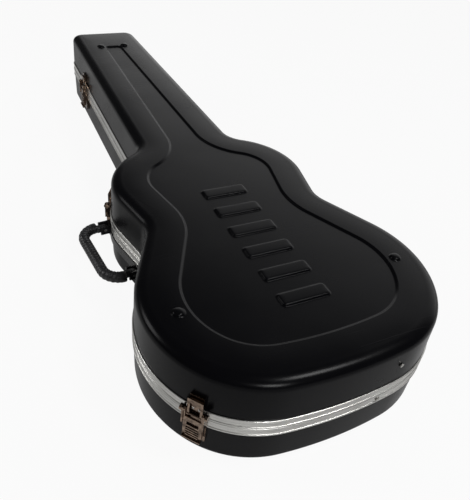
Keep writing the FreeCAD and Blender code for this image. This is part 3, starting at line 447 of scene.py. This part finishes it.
def drawn_aluminium(colours):
    # Extruded and drawn aluminium section: bright and satin, with fine die lines
    # running along it and a few dull patches.
    def build(tree, where, unrolled):
        # die lines 0.5 mm apart across the strip, stretched 1000 times along it
        along = add(tree, "Mapping", {
            "Vector": unrolled, "Scale": (2.0, 2000.0, 1.0),
        })
        lines = mottle(tree, (along, 0), 1.0, 3.0)
        patch = mottle(tree, where, 22.0)
        tone = patched(tree, patch, 0.45, 0.75, 0.6, colours.strip, colours.strip_dull)
        rough = calculate(
            tree, "ADD", (ramp(tree, (lines, 0), 0.3, 0.7, 0.20, 0.36), 0),
            (ramp(tree, (patch, 0), 0.4, 0.7, 0.0, 0.08), 0),
        )
        return coat(tone, rough, relief(tree, lines, 0.10, 0.0001))
    return finish_material("drawn_aluminium", {"Metallic": 1.0}, build)


def nickel_plate(colours):
    # Pressed steel with nickel plate: mirror-like with a warm cast, dulled in patches
    # and with small pits.
    def build(tree, where, _):
        patch = mottle(tree, where, 160.0, 5.0)
        tone = patched(tree, patch, 0.38, 0.66, 0.9, colours.plating, colours.tarnish)
        rough = ramp(tree, (patch, 0), 0.35, 0.75, 0.09, 0.27)
        pits = mottle(tree, where, 900.0, 2.0)
        return coat(tone, rough, relief(tree, pits, 0.12, 0.0002))
    return finish_material("nickel_plate", {"Metallic": 1.0}, build)


def zinc_plate(name, colours, dull):
    # Zinc-plated pressed steel: grey-white, satin, with a faint spangle.
    def build(tree, where, _):
        spangle = add(tree, "TexVoronoi", {"Vector": where, "Scale": 320.0})
        cloud = mottle(tree, where, 120.0)
        tone = patched(tree, cloud, 0.4, 0.75, 0.7, colours.steel, colours.steel_dull)
        rough = ramp(tree, (spangle, 0), 0.0, 0.9, dull, dull + 0.14)
        return coat(tone, rough, relief(tree, cloud, 0.10, 0.0002))
    return finish_material(name, {"Metallic": 1.0}, build)


def soft_vinyl(colours):
    # Soft PVC moulded over a steel core: black, half dull, with a pebble grain.
    def build(tree, where, _):
        pebble = add(tree, "TexVoronoi", {"Vector": where, "Scale": 620.0})
        cloud = mottle(tree, where, 70.0)
        tone = patched(tree, cloud, 0.45, 0.8, 0.8, colours.grip, colours.grip_worn)
        rough = ramp(tree, (cloud, 0), 0.3, 0.7, 0.34, 0.50)
        return coat(tone, rough, relief(tree, pebble, 0.35, 0.0003))
    return finish_material("soft_vinyl", {"IOR": 1.52}, build)


def stove_enamel(colours):
    # Black stove enamel on pressed steel: glossy, with slight orange peel.
    def build(tree, where, _):
        peel = mottle(tree, where, 420.0, 1.0)
        cloud = mottle(tree, where, 60.0)
        tone = patched(tree, cloud, 0.5, 0.8, 1.0, colours.paint, colours.paint_worn)
        rough = ramp(tree, (cloud, 0), 0.3, 0.7, 0.20, 0.34)
        return coat(tone, rough, relief(tree, peel, 0.15, 0.0003))
    return finish_material("stove_enamel", {"IOR": 1.52}, build)


def short_plush(colours):
    # Acrylic plush, 3 mm pile bonded to foam: very dull, light along its edges
    # where the pile tips catch it, and shaded where it has been brushed.
    def build(tree, where, _):
        stroke = add(tree, "Mapping", {"Vector": where, "Scale": (22.0, 9.0, 22.0)})
        brushed = mottle(tree, (stroke, 0), 1.0, 3.0)
        # pile tufts; the real ones are 1 mm, drawn at 2 mm so that they show
        tuft = mottle(tree, where, 520.0, 3.0, 0.7)
        tone = patched(tree, brushed, 0.35, 0.7, 1.0, colours.plush, colours.plush_brushed)
        # painted shade: where the tuft bump is low, in the hollows between the tufts, the colour
        # is mixed towards a darker one
        root = ramp(tree, (tuft, 0), 0.3, 0.6, 0.55, 0.0)
        deep = blend_colour(tree, (root, 0), (tone, 2), linear(colours.plush_painted_shade))
        return {"Base Color": (deep, 2), "Normal": (relief(tree, tuft, 0.8, 0.0016), 0)}
    return finish_material("short_plush", {
        "Roughness": 0.93, "Sheen Weight": 0.55, "Sheen Roughness": 0.45,
        "Sheen Tint": linear(colours.plush_tips), "Specular IOR Level": 0.2,
    }, build)


def dress(piece, coating, body, replaced=()):
    """Gives a piece its finish, its body and the CAD nodes it stands for."""
    piece.data.materials.clear()
    piece.data.materials.append(finish(coating))
    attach(piece, body)
    if replaced:
        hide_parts(*replaced)
        REPLACED.update(replaced)


# ---------------------------------------------------------------- profiles
def wall(pairs):
    """Profile rows that follow the loop's edge, from (inset, height) pairs."""
    return [(inset, 0, 0, 0, height) for inset, height in pairs]


def crest(share):
    """Height of the border's crown, 0 to 1: it rises to its crest, then falls a little."""
    if share < CREST_AT:
        return 1 - (1 - share / CREST_AT) ** 2
    return 1 - CREST_FALL * ((share - CREST_AT) / (1 - CREST_AT)) ** 2


def skin_rows(edge, rim, draft, crown, inner_edge):
    """Profile of a half's skin from the inner middle over the rim to the outer middle.

    Heights are for the lid. The outer wall leans in by the draft, turns
    through a superellipse onto the border, rises to its crest, falls to the
    panel's line, goes down an S-shaped step and on to the middle. The inner
    wall runs 3 mm inside it.
    """
    inner_top, inner_wall = 143.05 * MM, SKIN_BACK + 3 * MM
    step_start, step_end = -2.6 * MM, 3.0 * MM
    lean = SKIN_BACK + draft
    turn_from = HEIGHT - 0.78 * edge
    rows = [(0, 0, 1, share, inner_top) for share in (1, 0.5, 0)]
    turn_end = (inner_wall + inner_edge, inner_top)
    rows += wall(bend_rows((inner_wall, inner_top - inner_edge), turn_end, 7)[::-1])
    rows += wall([(inner_wall, rim), (SKIN_BACK, rim)])
    for share in np.linspace(0, 1, 8)[:-1]:
        z = rim + (turn_from - rim) * (0.02 + 0.98 * share)
        rows.append((SKIN_BACK + draft * share, 0, 0, 0, z))
    rows += wall(bend_rows((lean, turn_from), (lean + edge, HEIGHT - crown), 20, 2.25))
    for share in (0.06, 0.14, 0.25, 0.38, 0.52, 0.66, 0.79, 0.89, 0.96):
        z = HEIGHT - crown + crown * crest(share)
        rows.append((lean + edge, step_start, share, 0, z))
    top, panel = HEIGHT - CREST_FALL * crown, HEIGHT - PANEL_DEPTH
    for share in np.linspace(0, 1, 23):
        inset = step_start + (step_end - step_start) * share
        rows.append((0, inset, 1, 0, top + (panel - top) * smooth(share)))
    rows += [(0, step_end, 1, share, panel) for share in (0.03, 0.10, 0.25, 0.5, 0.75, 1.0)]
    return np.array(rows)


def strip_rows(high, low, bead, flange):
    """Ring profile of one strip, drawn for the lid.

    It has two beads, a sunk field with a groove along its middle, and a
    flange that turns in at the parting line.
    """
    field, sheet = 0.9 * MM, 1.5 * MM
    groove, shoulder = 0.4 * MM, 1.4 * MM
    turn = np.linspace(0, math.pi, 9)[1:-1]

    def swell(top):
        z = top - bead / 2 + (bead / 2) * np.cos(turn)
        return wall(zip(field * (1 - np.sin(turn) ** 0.7), z))

    middle = (high + low) / 2
    rows = wall([(sheet, high), (field, high)]) + swell(high)
    rows += wall([
        (field, high - bead), (field * 0.6, middle + shoulder),
        (field * 1.2, middle + groove), (field * 1.2, middle - groove),
        (field * 0.6, middle - shoulder), (field, low + bead),
    ])
    rows += swell(low + bead)
    rows += wall([(field, low), (flange, low), (flange, low + sheet), (sheet, low + sheet)])
    return np.array(rows)


def upside_down(rows, total):
    """The same profile for the base: heights turned over, order reversed to face outwards."""
    turned = rows[::-1].copy()
    turned[:, 4] = total - turned[:, 4]
    return turned


def lining_rows(rim, swell):
    """Profile of a foam tray from the cavity's middle over its rolled rim to the hidden side.

    No inset is larger than the radius of the head's corners, where a larger
    one would fold; further in, rows go a share of the way to the panel's line.
    """
    top, ceiling = 142.9 * MM, 134 * MM
    outer, inner, deepest = 4.6 * MM, 16.5 * MM, 26.4 * MM
    lip, corner, back = 6 * MM, 12 * MM, 14 * MM
    low = rim + lip
    rows = [
        (0, 0, 1, 1, ceiling), (0, 0, 1, 0.6, ceiling - 0.4 * swell),
        (0, 0, 1, 0.3, ceiling - 0.6 * swell), (0, 0, 1, 0, ceiling - 0.5 * swell),
        (deepest, 0, 0.48, 0, ceiling - 0.3 * swell),
        # sewn channel where the floor's cloth meets the wall's
        (deepest, 0, 0.15, 0, ceiling), (deepest, 0, 0.09, 0, ceiling + 1.2 * MM),
        (deepest, 0, 0.04, 0, ceiling - 0.2 * MM),
    ]
    rows += wall(bend_rows((inner, ceiling - corner), (deepest, ceiling - 0.6 * MM), 8)[::-1])
    share = np.linspace(0, 1, 9)[1:]
    bulge = 0.8 * swell * np.sin(math.pi * share)
    rows += wall(zip(inner + bulge, ceiling - corner + (low - ceiling + corner) * share))
    roll = np.linspace(0, math.pi, 11)[1:-1]
    middle, reach = (outer + inner) / 2, (inner - outer) / 2
    rows += wall(zip(middle + reach * np.cos(roll), low - lip * np.sin(roll)))
    rows += wall([(outer, low)])
    rows += wall(bend_rows((outer, top - back), (outer + back, top), 6))
    rows += [(0, 0, 1, share, top) for share in (0, 0.5, 1)]
    return np.array(rows)


# ---------------------------------------------------------------- pieces
MAKERS = {
    "abs": moulded_abs,
    "aluminium": drawn_aluminium,
    "nickel": nickel_plate,
    "hinge": lambda colours: zinc_plate("zinc_plated_sheet", colours, 0.30),
    "steel": lambda colours: zinc_plate("zinc_plated_wire", colours, 0.22),
    "vinyl": soft_vinyl,
    "enamel": stove_enamel,
    "plush": short_plush,
}
FINISHES = {}
REPLACED = set()


def finish(name):
    """Makes each material once."""
    if name not in FINISHES:
        FINISHES[name] = MAKERS[name](bpy.context.scene.case_colours)
    return FINISHES[name]


def joint(name):
    """The recorded joint of that name."""
    joints = frame["record"]["behaviour"]["joints"]
    return next(item for item in joints if item["name"] == name)


def posed(thing, right, up, back, place):
    """Puts an object at a place, with its axes pointing right, up and back."""
    matrix = np.eye(4)
    matrix[:3] = np.stack([right, up, back, place], axis=1)
    thing.matrix_world = Matrix(matrix.tolist())


class CASE_OT_stage(bpy.types.Operator):
    """Pale floor, soft lamps, world and camera"""
    bl_idname = "case.stage"
    bl_label = "Stage"

    def execute(self, context):
        colours = context.scene.case_colours
        reach, sink = 9.0, -0.4 * MM
        corners = [(x * reach, y * reach, sink) for x, y in ((-1, -1), (1, -1), (1, 1), (-1, 1))]
        floor = new_piece("floor", np.array(corners), np.array([(0, 1, 2, 3)]))
        material = bpy.data.materials.new("painted_floor")
        material.use_nodes = True
        tree = material.node_tree
        tree.nodes.clear()
        plain = add(tree, "BsdfDiffuse", {"Color": linear(colours.floor)})
        bright = add(tree, "Emission", {"Color": (1, 1, 1, 1), "Strength": 1.0})
        ray = add(tree, "LightPath")
        seen = calculate(tree, "MAXIMUM", (ray, "Is Glossy Ray"), (ray, "Is Transmission Ray"))
        partly = calculate(tree, "MULTIPLY", (seen, 0), 0.25)
        direct = calculate(tree, "MULTIPLY", (ray, "Is Camera Ray"), 0.93)
        share = calculate(tree, "MAXIMUM", (partly, 0), (direct, 0))
        mixed = add(tree, "MixShader", {0: (share, 0), 1: (plain, 0), 2: (bright, 0)})
        add(tree, "OutputMaterial", {"Surface": (mixed, 0)})
        floor.data.materials.append(material)

        world = bpy.data.worlds.new("studio")
        context.scene.world = world
        world.use_nodes = True
        tree = world.node_tree
        tree.nodes.clear()
        way = add(tree, "TexCoord")
        # soft light from behind and the hinge side, darker towards the front
        turned = add(tree, "VectorMath", {
            0: (way, "Generated"), 1: (0.75, 0.64, 0.0),
        }, operation="DOT_PRODUCT")
        level = ramp(tree, (turned, "Value"), 0.62, 0.85, 0.12, 1.9)
        level.interpolation_type = "SMOOTHSTEP"
        glow = add(tree, "Background", {"Strength": (level, 0)})
        white = add(tree, "Background", {"Strength": 1.0})
        ray = add(tree, "LightPath")
        mixed = add(tree, "MixShader", {
            0: (ray, "Is Camera Ray"), 1: (glow, 0), 2: (white, 0),
        })
        add(tree, "OutputWorld", {"Surface": (mixed, 0)})

        for name, place, aim, size, power in (
            ("front_lamp", (-0.2, -2.4, 1.6), (0.0, 0.0, 0.1), 0.7, 28.0),
            ("top_lamp", (0.8, -0.95, 2.1), (0.0, -0.3, 0.1), 0.6, 20.0),
            ("side_lamp", (-1.7, 0.8, 1.1), (-0.5, 0.4, 0.0), 0.9, 12.0),
        ):
            lamp = bpy.data.lights.new(name, "AREA")
            lamp.shape = "DISK"
            lamp.size = size
            lamp.energy = power
            thing = bpy.data.objects.new(name, lamp)
            context.scene.collection.objects.link(thing)
            back = unit(np.array(place) - np.array(aim))
            side = unit(np.cross((0, 0, 1), back))
            posed(thing, side, np.cross(back, side), back, place)
            thing.visible_camera = False

        sensor, focal_share = 36.0, 574.802 / 500
        lens = bpy.data.cameras.new("camera")
        lens.sensor_fit = "VERTICAL"
        lens.sensor_height = sensor
        lens.sensor_width = sensor
        lens.lens = focal_share * sensor
        lens.clip_start = 0.02
        camera = bpy.data.objects.new("camera", lens)
        context.scene.collection.objects.link(camera)
        posed(
            camera,
            right=(0.89859068, -0.4261612, 0.10450557),
            up=(0.19714278, 0.60488633, 0.77152268),
            back=(-0.39200703, -0.67268057, 0.62755983),
            place=(-0.355656115, -0.838127337, 0.642316124),
        )
        context.scene.camera = camera
        context.scene.view_settings.view_transform = "Standard"
        return {"FINISHED"}


class CASE_OT_skins(bpy.types.Operator):
    """Moulded skins of the lid and the base"""
    bl_idname = "case.skins"
    bl_label = "Shell skins"

    def execute(self, context):
        sizes = context.scene.case_sizes
        loop = case_loop()
        lid = skin_rows(sizes.lid_edge, 71.3 * MM, sizes.draft, sizes.crown, 9 * MM)
        dress(
            carry("lid_skin", loop, lid, sharp=50),
            "abs", "lid", ("lid_shell",),
        )
        base = skin_rows(sizes.base_edge, 79.8 * MM, sizes.draft, 0.0, 7 * MM)
        dress(
            carry("base_skin", loop, upside_down(base, HEIGHT), sharp=50),
            "abs", "base", ("base_shell",),
        )
        return {"FINISHED"}


class CASE_OT_raised(bpy.types.Operator):
    """Raised ribs and bumps of the lid"""
    bl_idname = "case.raised"
    bl_label = "Ribs and bumps"

    def execute(self, context):
        panel = HEIGHT - PANEL_DEPTH
        # each rib: a hidden collar, a hollow fillet at its foot, then a round crest
        first_rib, rib_step, skirt, sunk = -416, 49, -2.6 * MM, panel - 1.4 * MM
        for number in range(6):
            along = (first_rib + rib_step * number) * MM
            loop = dense_loop(round_loop(0, along, 35 * MM, 11 * MM, 4.5 * MM, 8), 3 * MM)
            rows = [(0.5 * MM, 0, 0, 1, sunk)]
            rows += wall([(skirt, sunk), (skirt, panel - 0.03 * MM)])
            foot = bend_rows((0, 0), (2.2 * MM, 1.0 * MM), 6)[::-1]
            rows += wall((-0.3 * MM - d, panel + 1.0 * MM - z) for d, z in foot)
            rows += wall(bend_rows((0.1 * MM, panel + 1.4 * MM), (3.2 * MM, panel + 3.3 * MM), 9))
            for share, rise in ((0.4, 3.38), (1, 3.4)):
                rows.append((3.2 * MM, 0, 0, share, panel + rise * MM))
            dress(carry(f"lid_rib_{number + 1}", loop, rows), "abs", "lid")
        # each bump: a hidden collar, then a dome
        radius, skirt, border = 7.5 * MM, -2.4 * MM, HEIGHT - 0.15 * MM
        spots = ((163, -395), (-163, -395), (27, 446), (-27, 446))
        for number, (across, along) in enumerate(spots):
            loop = round_loop(across * MM, along * MM, radius, radius, 7.49 * MM)
            rows = [(0, 0, 0, 1, border - 1.5 * MM)]
            rows += wall([
                (skirt, border - 1.5 * MM), (skirt, border - 0.1 * MM),
                (-1.0 * MM, border + 0.3 * MM),
            ])
            tip = (7.4 * MM, border + 4.1 * MM)
            rows += wall(bend_rows((0.0, border + 0.9 * MM), tip, 14, 2.2))
            rows += [(tip[0], 0, 0, 1, tip[1])]
            dress(carry(f"lid_bump_{number + 1}", loop, rows), "abs", "lid")
        return {"FINISHED"}


class CASE_OT_strips(bpy.types.Operator):
    """Drawn aluminium strips along the parting line"""
    bl_idname = "case.strips"
    bl_label = "Aluminium strips"

    def execute(self, context):
        sizes = context.scene.case_sizes
        loop = case_loop()
        rows = strip_rows(85.2 * MM, PARTING + 0.2 * MM, sizes.bead, 7.4 * MM)[::-1]
        dress(
            carry("lid_strip", loop, rows, ring=True, sharp=40),
            "aluminium", "lid", ("lid_valance",),
        )
        dress(
            carry("base_strip", loop, upside_down(rows, 2 * PARTING), ring=True, sharp=40),
            "aluminium", "base", ("base_valance",),
        )
        return {"FINISHED"}


class CASE_OT_linings(bpy.types.Operator):
    """Plush-covered foam trays of both halves"""
    bl_idname = "case.linings"
    bl_label = "Padding"

    def execute(self, context):
        sizes = context.scene.case_sizes
        loop = case_loop()

        def uneven(points):
            moved = points.copy()
            moved[..., 2] += ripple(points, 0.07, 3) * 0.00025
            return moved

        rows = lining_rows(75.2 * MM, sizes.pad_swell)
        lid = carry("lid_padding", loop, rows, shape=uneven)
        dress(lid, "plush", "lid", ("lid_lining",))
        rows = lining_rows(82.2 * MM, sizes.pad_swell)
        base = carry("base_padding", loop, upside_down(rows, HEIGHT), shape=uneven)
        dress(base, "plush", "base", ("base_lining",))
        return {"FINISHED"}


class CASE_OT_cradle(bpy.types.Operator):
    """Padded neck cradle"""
    bl_idname = "case.cradle"
    bl_label = "Neck cradle"

    def execute(self, context):
        # half the block's outline, from the middle of the foot round to the notch's bottom
        low, high, half = 15.2 * MM, 88 * MM, 58 * MM
        heel, shoulder, lip = 4 * MM, 8 * MM, 5 * MM
        mouth, neck, neck_height = 34.5 * MM, 30 * MM, 94 * MM
        turn = np.linspace(0, math.pi / 2, 8)
        near, far = np.sin(turn), 1 - np.cos(turn)
        angle = np.linspace(math.radians(-18), math.radians(-90), 18)
        parts = [
            (np.linspace(0, half - heel, 12), np.full(12, low)),
            (half - heel + heel * near, low + heel * far),
            (np.full(12, half), np.linspace(low + heel, high - shoulder, 12)),
            (half - shoulder * far, high - shoulder + shoulder * near),
            (np.linspace(half - shoulder, mouth, 6), np.full(6, high)),
            (mouth - lip * near, high - lip * far),
            (neck * np.cos(angle), neck_height + neck * np.sin(angle)),
        ]
        half_line = np.concatenate([
            np.stack(part, axis=1)[1 if number else 0:] for number, part in enumerate(parts)
        ])
        line = np.concatenate([half_line, half_line[-2:0:-1] * (-1, 1)])
        step = np.roll(line, -1, 0) - np.roll(line, 1, 0)
        facing = unit(np.stack([step[:, 1], -step[:, 0]], 1))
        core = np.stack([np.clip(line[:, 0], -0.05, 0.05), np.full(len(line), 40 * MM)], 1)
        # along the neck: caps, round edges and a slightly swollen middle
        reach, edge, level, along = 25 * MM, 6 * MM, 16 * MM, 196 * MM
        ends = bend_rows((0, 0), (edge, edge), 7)[::-1]
        places = [(-reach, 0, 1.0)]
        places += [(-reach + (edge - z), d, 0.0) for d, z in ends]
        places += [(y, 0.0, 0.0) for y in np.linspace(-level, level, 9)]
        places += [(reach - (edge - z), d, 0.0) for d, z in ends[::-1]]
        places += [(reach, 0, 1.0)]
        spot = np.array(places)
        y, inset, cap = (spot[:, k][:, None, None] for k in range(3))
        flat = (1 - cap) * (line[None] - inset * facing[None]) + cap * core[None]
        slack = 0.9 * MM
        swell = 0.8 * MM * np.cos(np.clip(y / reach, -1, 1) * math.pi / 2)
        flat = flat + (1 - cap) * (swell - slack) * facing[None]
        points = np.concatenate([
            flat[..., :1], np.broadcast_to(y + along, flat[..., :1].shape), flat[..., 1:],
        ], axis=2)
        faces = grid_faces(len(spot), len(line), False, True)[:, ::-1]
        cradle = new_piece("cradle_pad", points, faces, weld=True)
        dress(cradle, "plush", "base", ("neck_cradle",))
        return {"FINISHED"}


class CASE_OT_compartment(bpy.types.Operator):
    """Accessory compartment with its lid and pull tab"""
    bl_idname = "case.compartment"
    bl_label = "Accessory compartment"

    def execute(self, context):
        low, top, along = 15.2 * MM, 46 * MM, 336 * MM
        edge, roll, inner_edge = 1.5 * MM, 2 * MM, 4 * MM
        loop = dense_loop(round_loop(0, along, 42 * MM, 80 * MM, 4 * MM, 8), 8 * MM)
        rows = [(0, 0, 0, 1, low), (edge, 0, 0, 0, low)]
        outer = bend_rows((0, 0), (edge, edge), 5)[::-1]
        rows += wall((d, low + edge - z) for d, z in outer)
        turn = np.linspace(0, math.pi, 11)
        rows += wall(zip(roll - roll * np.cos(turn), top - roll + roll * np.sin(turn)))
        inner = bend_rows((inner_edge, 0), (2 * inner_edge, inner_edge), 6)
        rows += wall((d, low + 2 * inner_edge - z) for d, z in inner)
        rows += [(2 * inner_edge, 0, 0, share, low + inner_edge) for share in (0.5, 1)]
        box = carry("compartment", loop, rows)
        dress(box, "plush", "base", ("accessory_box",))
        for place, centre in (("back", 259), ("front", 413)):
            loop = round_loop(38.5 * MM, centre * MM, 3.5 * MM, 3 * MM, 1.0 * MM, 4)
            rows = [(0, 0, 0, 1, 44 * MM)]
            rows += wall([(0.2 * MM, 44 * MM), (0, 44.4 * MM), (0, 50.6 * MM)])
            rows += wall(bend_rows((0, 50.8 * MM), (1.2 * MM, 52.1 * MM), 6))
            rows += [(1.2 * MM, 0, 0, 1, 52.15 * MM)]
            post = carry(f"compartment_post_{place}", loop, rows)
            dress(post, "vinyl", "base")
        # lid: a thin board wrapped in plush, swollen a little in the middle
        foot, mid = 47.3 * MM, 49.3 * MM
        loop = dense_loop(round_loop(-2.4 * MM, along, 39.3 * MM, 73.6 * MM, 3 * MM, 8), 6 * MM)
        rows = [(0, 0, 0, 1, foot), (8 * MM, 0, 0, 0, foot)]
        turn = np.linspace(-math.pi / 2, math.pi / 2, 11)
        rows += wall(zip(roll - roll * np.cos(turn), mid + roll * np.sin(turn)))
        rows += wall([(6 * MM, 51.45 * MM), (14 * MM, 51.6 * MM)])
        rows += [(14 * MM, 0, 0, share, 51.7 * MM) for share in (0.6, 1)]
        lid = carry("compartment_lid", loop, rows)
        dress(lid, "plush", "accessory_lid", ("accessory_lid",))
        # pull tab: woven ribbon that arches off the lid between its two ends
        root, reach, half, thick = -27.5, 17, 7.6, 0.6 * MM
        u, v = np.meshgrid(np.linspace(0, 1, 25), np.linspace(-1, 1, 9), indexing="ij")
        rise = (51.75 + 1.4 * np.sin(math.pi * u) ** 2 * (1 - 0.25 * v * v)) * MM
        lower = np.stack([(root - reach * u) * MM, along + half * v * MM, rise], -1)
        upper = lower + (0.0, 0.0, thick)
        ribbon = np.concatenate([upper, lower[:, ::-1]], axis=1)
        rings, around = ribbon.shape[:2]
        ends = []
        for start in (0, (rings - 1) * around):
            ring = start + np.arange(around)
            quads = np.stack([ring[:8], ring[1:9], ring[16:8:-1], ring[17:9:-1]], 1)
            ends.append(quads if start else quads[:, ::-1])
        faces = np.concatenate([grid_faces(rings, around, False, True), *ends])
        tab = new_piece("pull_tab", ribbon, faces, sharp=40)
        dress(tab, "plush", "accessory_lid", ("accessory_pull_tab",))
        return {"FINISHED"}


def local_axes(facing):
    """Unit vectors along the wall, out of it and up, as the fittings use them."""
    angle = math.radians(facing)
    out = np.array([math.cos(angle), math.sin(angle), 0.0])
    up = np.array([0.0, 0.0, 1.0])
    return np.cross(out, up), out, up


class CASE_OT_handle(bpy.types.Operator):
    """Ringed vinyl handle"""
    bl_idname = "case.handle"
    bl_label = "Handle"

    def execute(self, context):
        sizes = context.scene.case_sizes
        pivot = np.array(joint("handle_swing")["pos_m"])
        out = np.array([-0.99614, -0.08776, 0.0])
        up = np.array([0.0, 0.0, 1.0])
        along = np.cross(out, up)
        # centre line of the left half in (along, out), from the eye's bottom to the middle:
        # a straight root, a short slant out to the leg, a quarter turn and the bar
        root, leg, bend, far = 60 * MM, 64 * MM, 26 * MM, 39.5 * MM
        eye, root_end = 6.4 * MM, 10.8 * MM
        straight = np.linspace(-eye, root_end, 16)
        share = np.linspace(0, 1, 4)[1:]
        turn = np.linspace(math.pi, math.pi / 2, 40)[1:]
        bar = np.linspace(-leg + bend, 0, 52)[1:]
        half = np.concatenate([
            np.stack([np.full(len(straight), -root), straight], 1),
            np.stack([-root - (leg - root) * smooth(share),
                      root_end + (far - bend - root_end) * share], 1),
            np.stack([-leg + bend + bend * np.cos(turn), far - bend + bend * np.sin(turn)], 1),
            np.stack([bar, np.full(len(bar), far)], 1),
        ])
        line = np.concatenate([half, half[-2::-1] * (-1, 1)])
        run = np.concatenate([[0], np.cumsum(np.linalg.norm(np.diff(line, axis=0), axis=1))])
        end = np.minimum(run, run[-1] - run)
        # sections stay square to the root until they are clear of the bracket's ears
        step = np.gradient(line, axis=0)
        step[:, 0] *= smooth((end - 20 * MM) / (6 * MM))
        way = unit(step)
        side = np.stack([-way[:, 1], way[:, 0]], 1)
        # half width and half height of the section: a squarish eye, then the round grip
        eye_part = np.sqrt(np.clip(1 - ((end - eye) / eye) ** 2, 0, 1))
        eye_part = np.where(end < eye, eye_part, 1.0)
        into = smooth((end - 17.4 * MM) / (7 * MM))
        eye_wide, eye_tall, grip, ring_depth = 4.8 * MM, 6.2 * MM, sizes.grip_radius, 0.085
        ring = 0.5 - 0.5 * np.cos(2 * math.pi * (run - run[-1] / 2) / sizes.grip_ring)
        ring = 1 - ring_depth * ring ** 2 * smooth((end - 26 * MM) / (8 * MM))
        wide = (eye_wide * eye_part ** 0.5 * (1 - into) + grip * into) * ring
        tall = (eye_tall * eye_part * (1 - into) + grip * into) * ring
        angle = np.linspace(0, 2 * math.pi, 28, endpoint=False)
        power = 2 / (3.2 - 1.1 * into)[:, None]
        cosine = np.sign(np.cos(angle)) * np.abs(np.cos(angle)) ** power
        sine = np.sign(np.sin(angle)) * np.abs(np.sin(angle)) ** power
        flat = line[:, None] + side[:, None] * (wide[:, None] * cosine)[..., None]
        height = tall[:, None] * sine
        points = pivot + flat[..., :1] * along + flat[..., 1:] * out + height[..., None] * up
        faces = grid_faces(len(line), len(angle), False, True)
        handle = new_piece("handle_moulding", points, faces, weld=True)
        work = bmesh.new()
        work.from_mesh(handle.data)
        bmesh.ops.holes_fill(work, edges=work.edges, sides=0)
        bmesh.ops.recalc_face_normals(work, faces=work.faces)
        work.to_mesh(handle.data)
        work.free()
        dress(handle, "vinyl", "handle", ("handle_grip",))
        return {"FINISHED"}


def dome_points(spots, radius, height):
    """Closed rivet heads on walls.

    Each head is a flattened half ball: ring distances from the axis are the
    radius times the sine of an angle and heights are the height times its
    cosine; a hidden collar closes it inside the wall.
    """
    faces_round, collar = 16, -0.5 * MM
    angle = np.linspace(0, math.pi / 2, 7)
    reach = np.concatenate([[0.0], radius * np.sin(angle[1:]), [radius * 0.98, 0.0]])
    lift = np.concatenate([height * np.cos(angle), [collar, collar]])
    turn = np.linspace(0, 2 * math.pi, faces_round, endpoint=False)
    points, faces = [], []
    for number, (place, facing) in enumerate(spots):
        side, out, up = local_axes(facing)
        ring = np.cos(turn)[:, None] * side + np.sin(turn)[:, None] * up
        body = np.array(place) + reach[:, None, None] * ring[None] + lift[:, None, None] * out
        points.append(body.reshape(-1, 3))
        shift = number * len(reach) * faces_round
        faces.append(grid_faces(len(reach), faces_round, False, True) + shift)
    return np.concatenate(points), np.concatenate(faces)


class CASE_OT_rivets(bpy.types.Operator):
    """Rivet heads of the latches' catches and of the hinges"""
    bl_idname = "case.rivets"
    bl_label = "Rivets"

    def execute(self, context):
        def on_wall(foot, facing, across, out, up):
            side, away, _ = local_axes(facing)
            spot = np.array([foot[0], foot[1], 0.0]) * MM + side * across * MM + away * out * MM
            spot[2] = up * MM
            return tuple(spot), facing

        base, lid = [], []
        for foot, facing in LATCHES.values():
            for across in (-4.2, 4.2):
                lid.append(on_wall(foot, facing, across, 1.3, 84.0))
        axis = joint("lid_hinge")["axis"]
        facing = math.degrees(math.atan2(-axis[0], axis[1]))
        out = np.array([axis[1], -axis[0]])
        for arc in (ARCS[2], ARCS[4]):
            foot = arc[:2] + out * arc[2]
            for across in (-12, 0, 12):
                base.append(on_wall(foot, facing, across, 1.4, 49.0))
                lid.append(on_wall(foot, facing, across, 1.4, 93.0))
        for name, spots, body in (("base_rivets", base, "base"), ("lid_rivets", lid, "lid")):
            points, faces = dome_points(spots, 2.1 * MM, 1.0 * MM)
            piece = new_piece(name, points, faces[:, ::-1], weld=True)
            dress(piece, "steel", body)
        return {"FINISHED"}


class CASE_OT_fittings(bpy.types.Operator):
    """Finishes of the latches, hinges, brackets and pins"""
    bl_idname = "case.fittings"
    bl_label = "Fittings"

    def execute(self, context):
        wanted = {
            "latch": "nickel", "hinge": "hinge", "handle_bracket": "enamel",
            "handle_plate": "enamel", "handle_pin": "steel", "strip_rivet": "steel",
            "skirt_rivet": "steel", "accessory_hinge_pin": "steel",
        }
        for name in frame["nodes"]:
            if name in REPLACED:
                continue
            kind = next((v for k, v in wanted.items() if name.startswith(k)), None)
            if kind is None:
                raise RuntimeError(f"{name} has no finish")
            for slot in bpy.data.objects[name].material_slots:
                slot.material = finish(kind)
        return {"FINISHED"}


OPERATORS = (
    CASE_OT_stage, CASE_OT_skins, CASE_OT_raised, CASE_OT_strips, CASE_OT_linings,
    CASE_OT_cradle, CASE_OT_compartment, CASE_OT_handle, CASE_OT_rivets, CASE_OT_fittings,
)


class CASE_PT_panel(bpy.types.Panel):
    """Lists the sizes, colours and pieces of the case"""
    bl_idname = "CASE_PT_panel"
    bl_label = "Guitar case"
    bl_space_type = "VIEW_3D"
    bl_region_type = "UI"
    bl_category = "Guitar case"

    def draw(self, context):
        for group in (context.scene.case_sizes, context.scene.case_colours):
            for key in group.__annotations__:
                self.layout.prop(group, key)
        for operator in OPERATORS:
            self.layout.operator(operator.bl_idname)


CLASSES = (CaseSizes, CaseColours, *OPERATORS, CASE_PT_panel)


def register():
    for item in CLASSES:
        bpy.utils.register_class(item)
    bpy.types.Scene.case_sizes = bpy.props.PointerProperty(type=CaseSizes)
    bpy.types.Scene.case_colours = bpy.props.PointerProperty(type=CaseColours)


def unregister():
    del bpy.types.Scene.case_colours
    del bpy.types.Scene.case_sizes
    for item in reversed(CLASSES):
        bpy.utils.unregister_class(item)


def main():
    register()
    for operator in OPERATORS:
        group, name = operator.bl_idname.split(".")
        getattr(getattr(bpy.ops, group), name)()


if __name__ == "__main__":
    main()
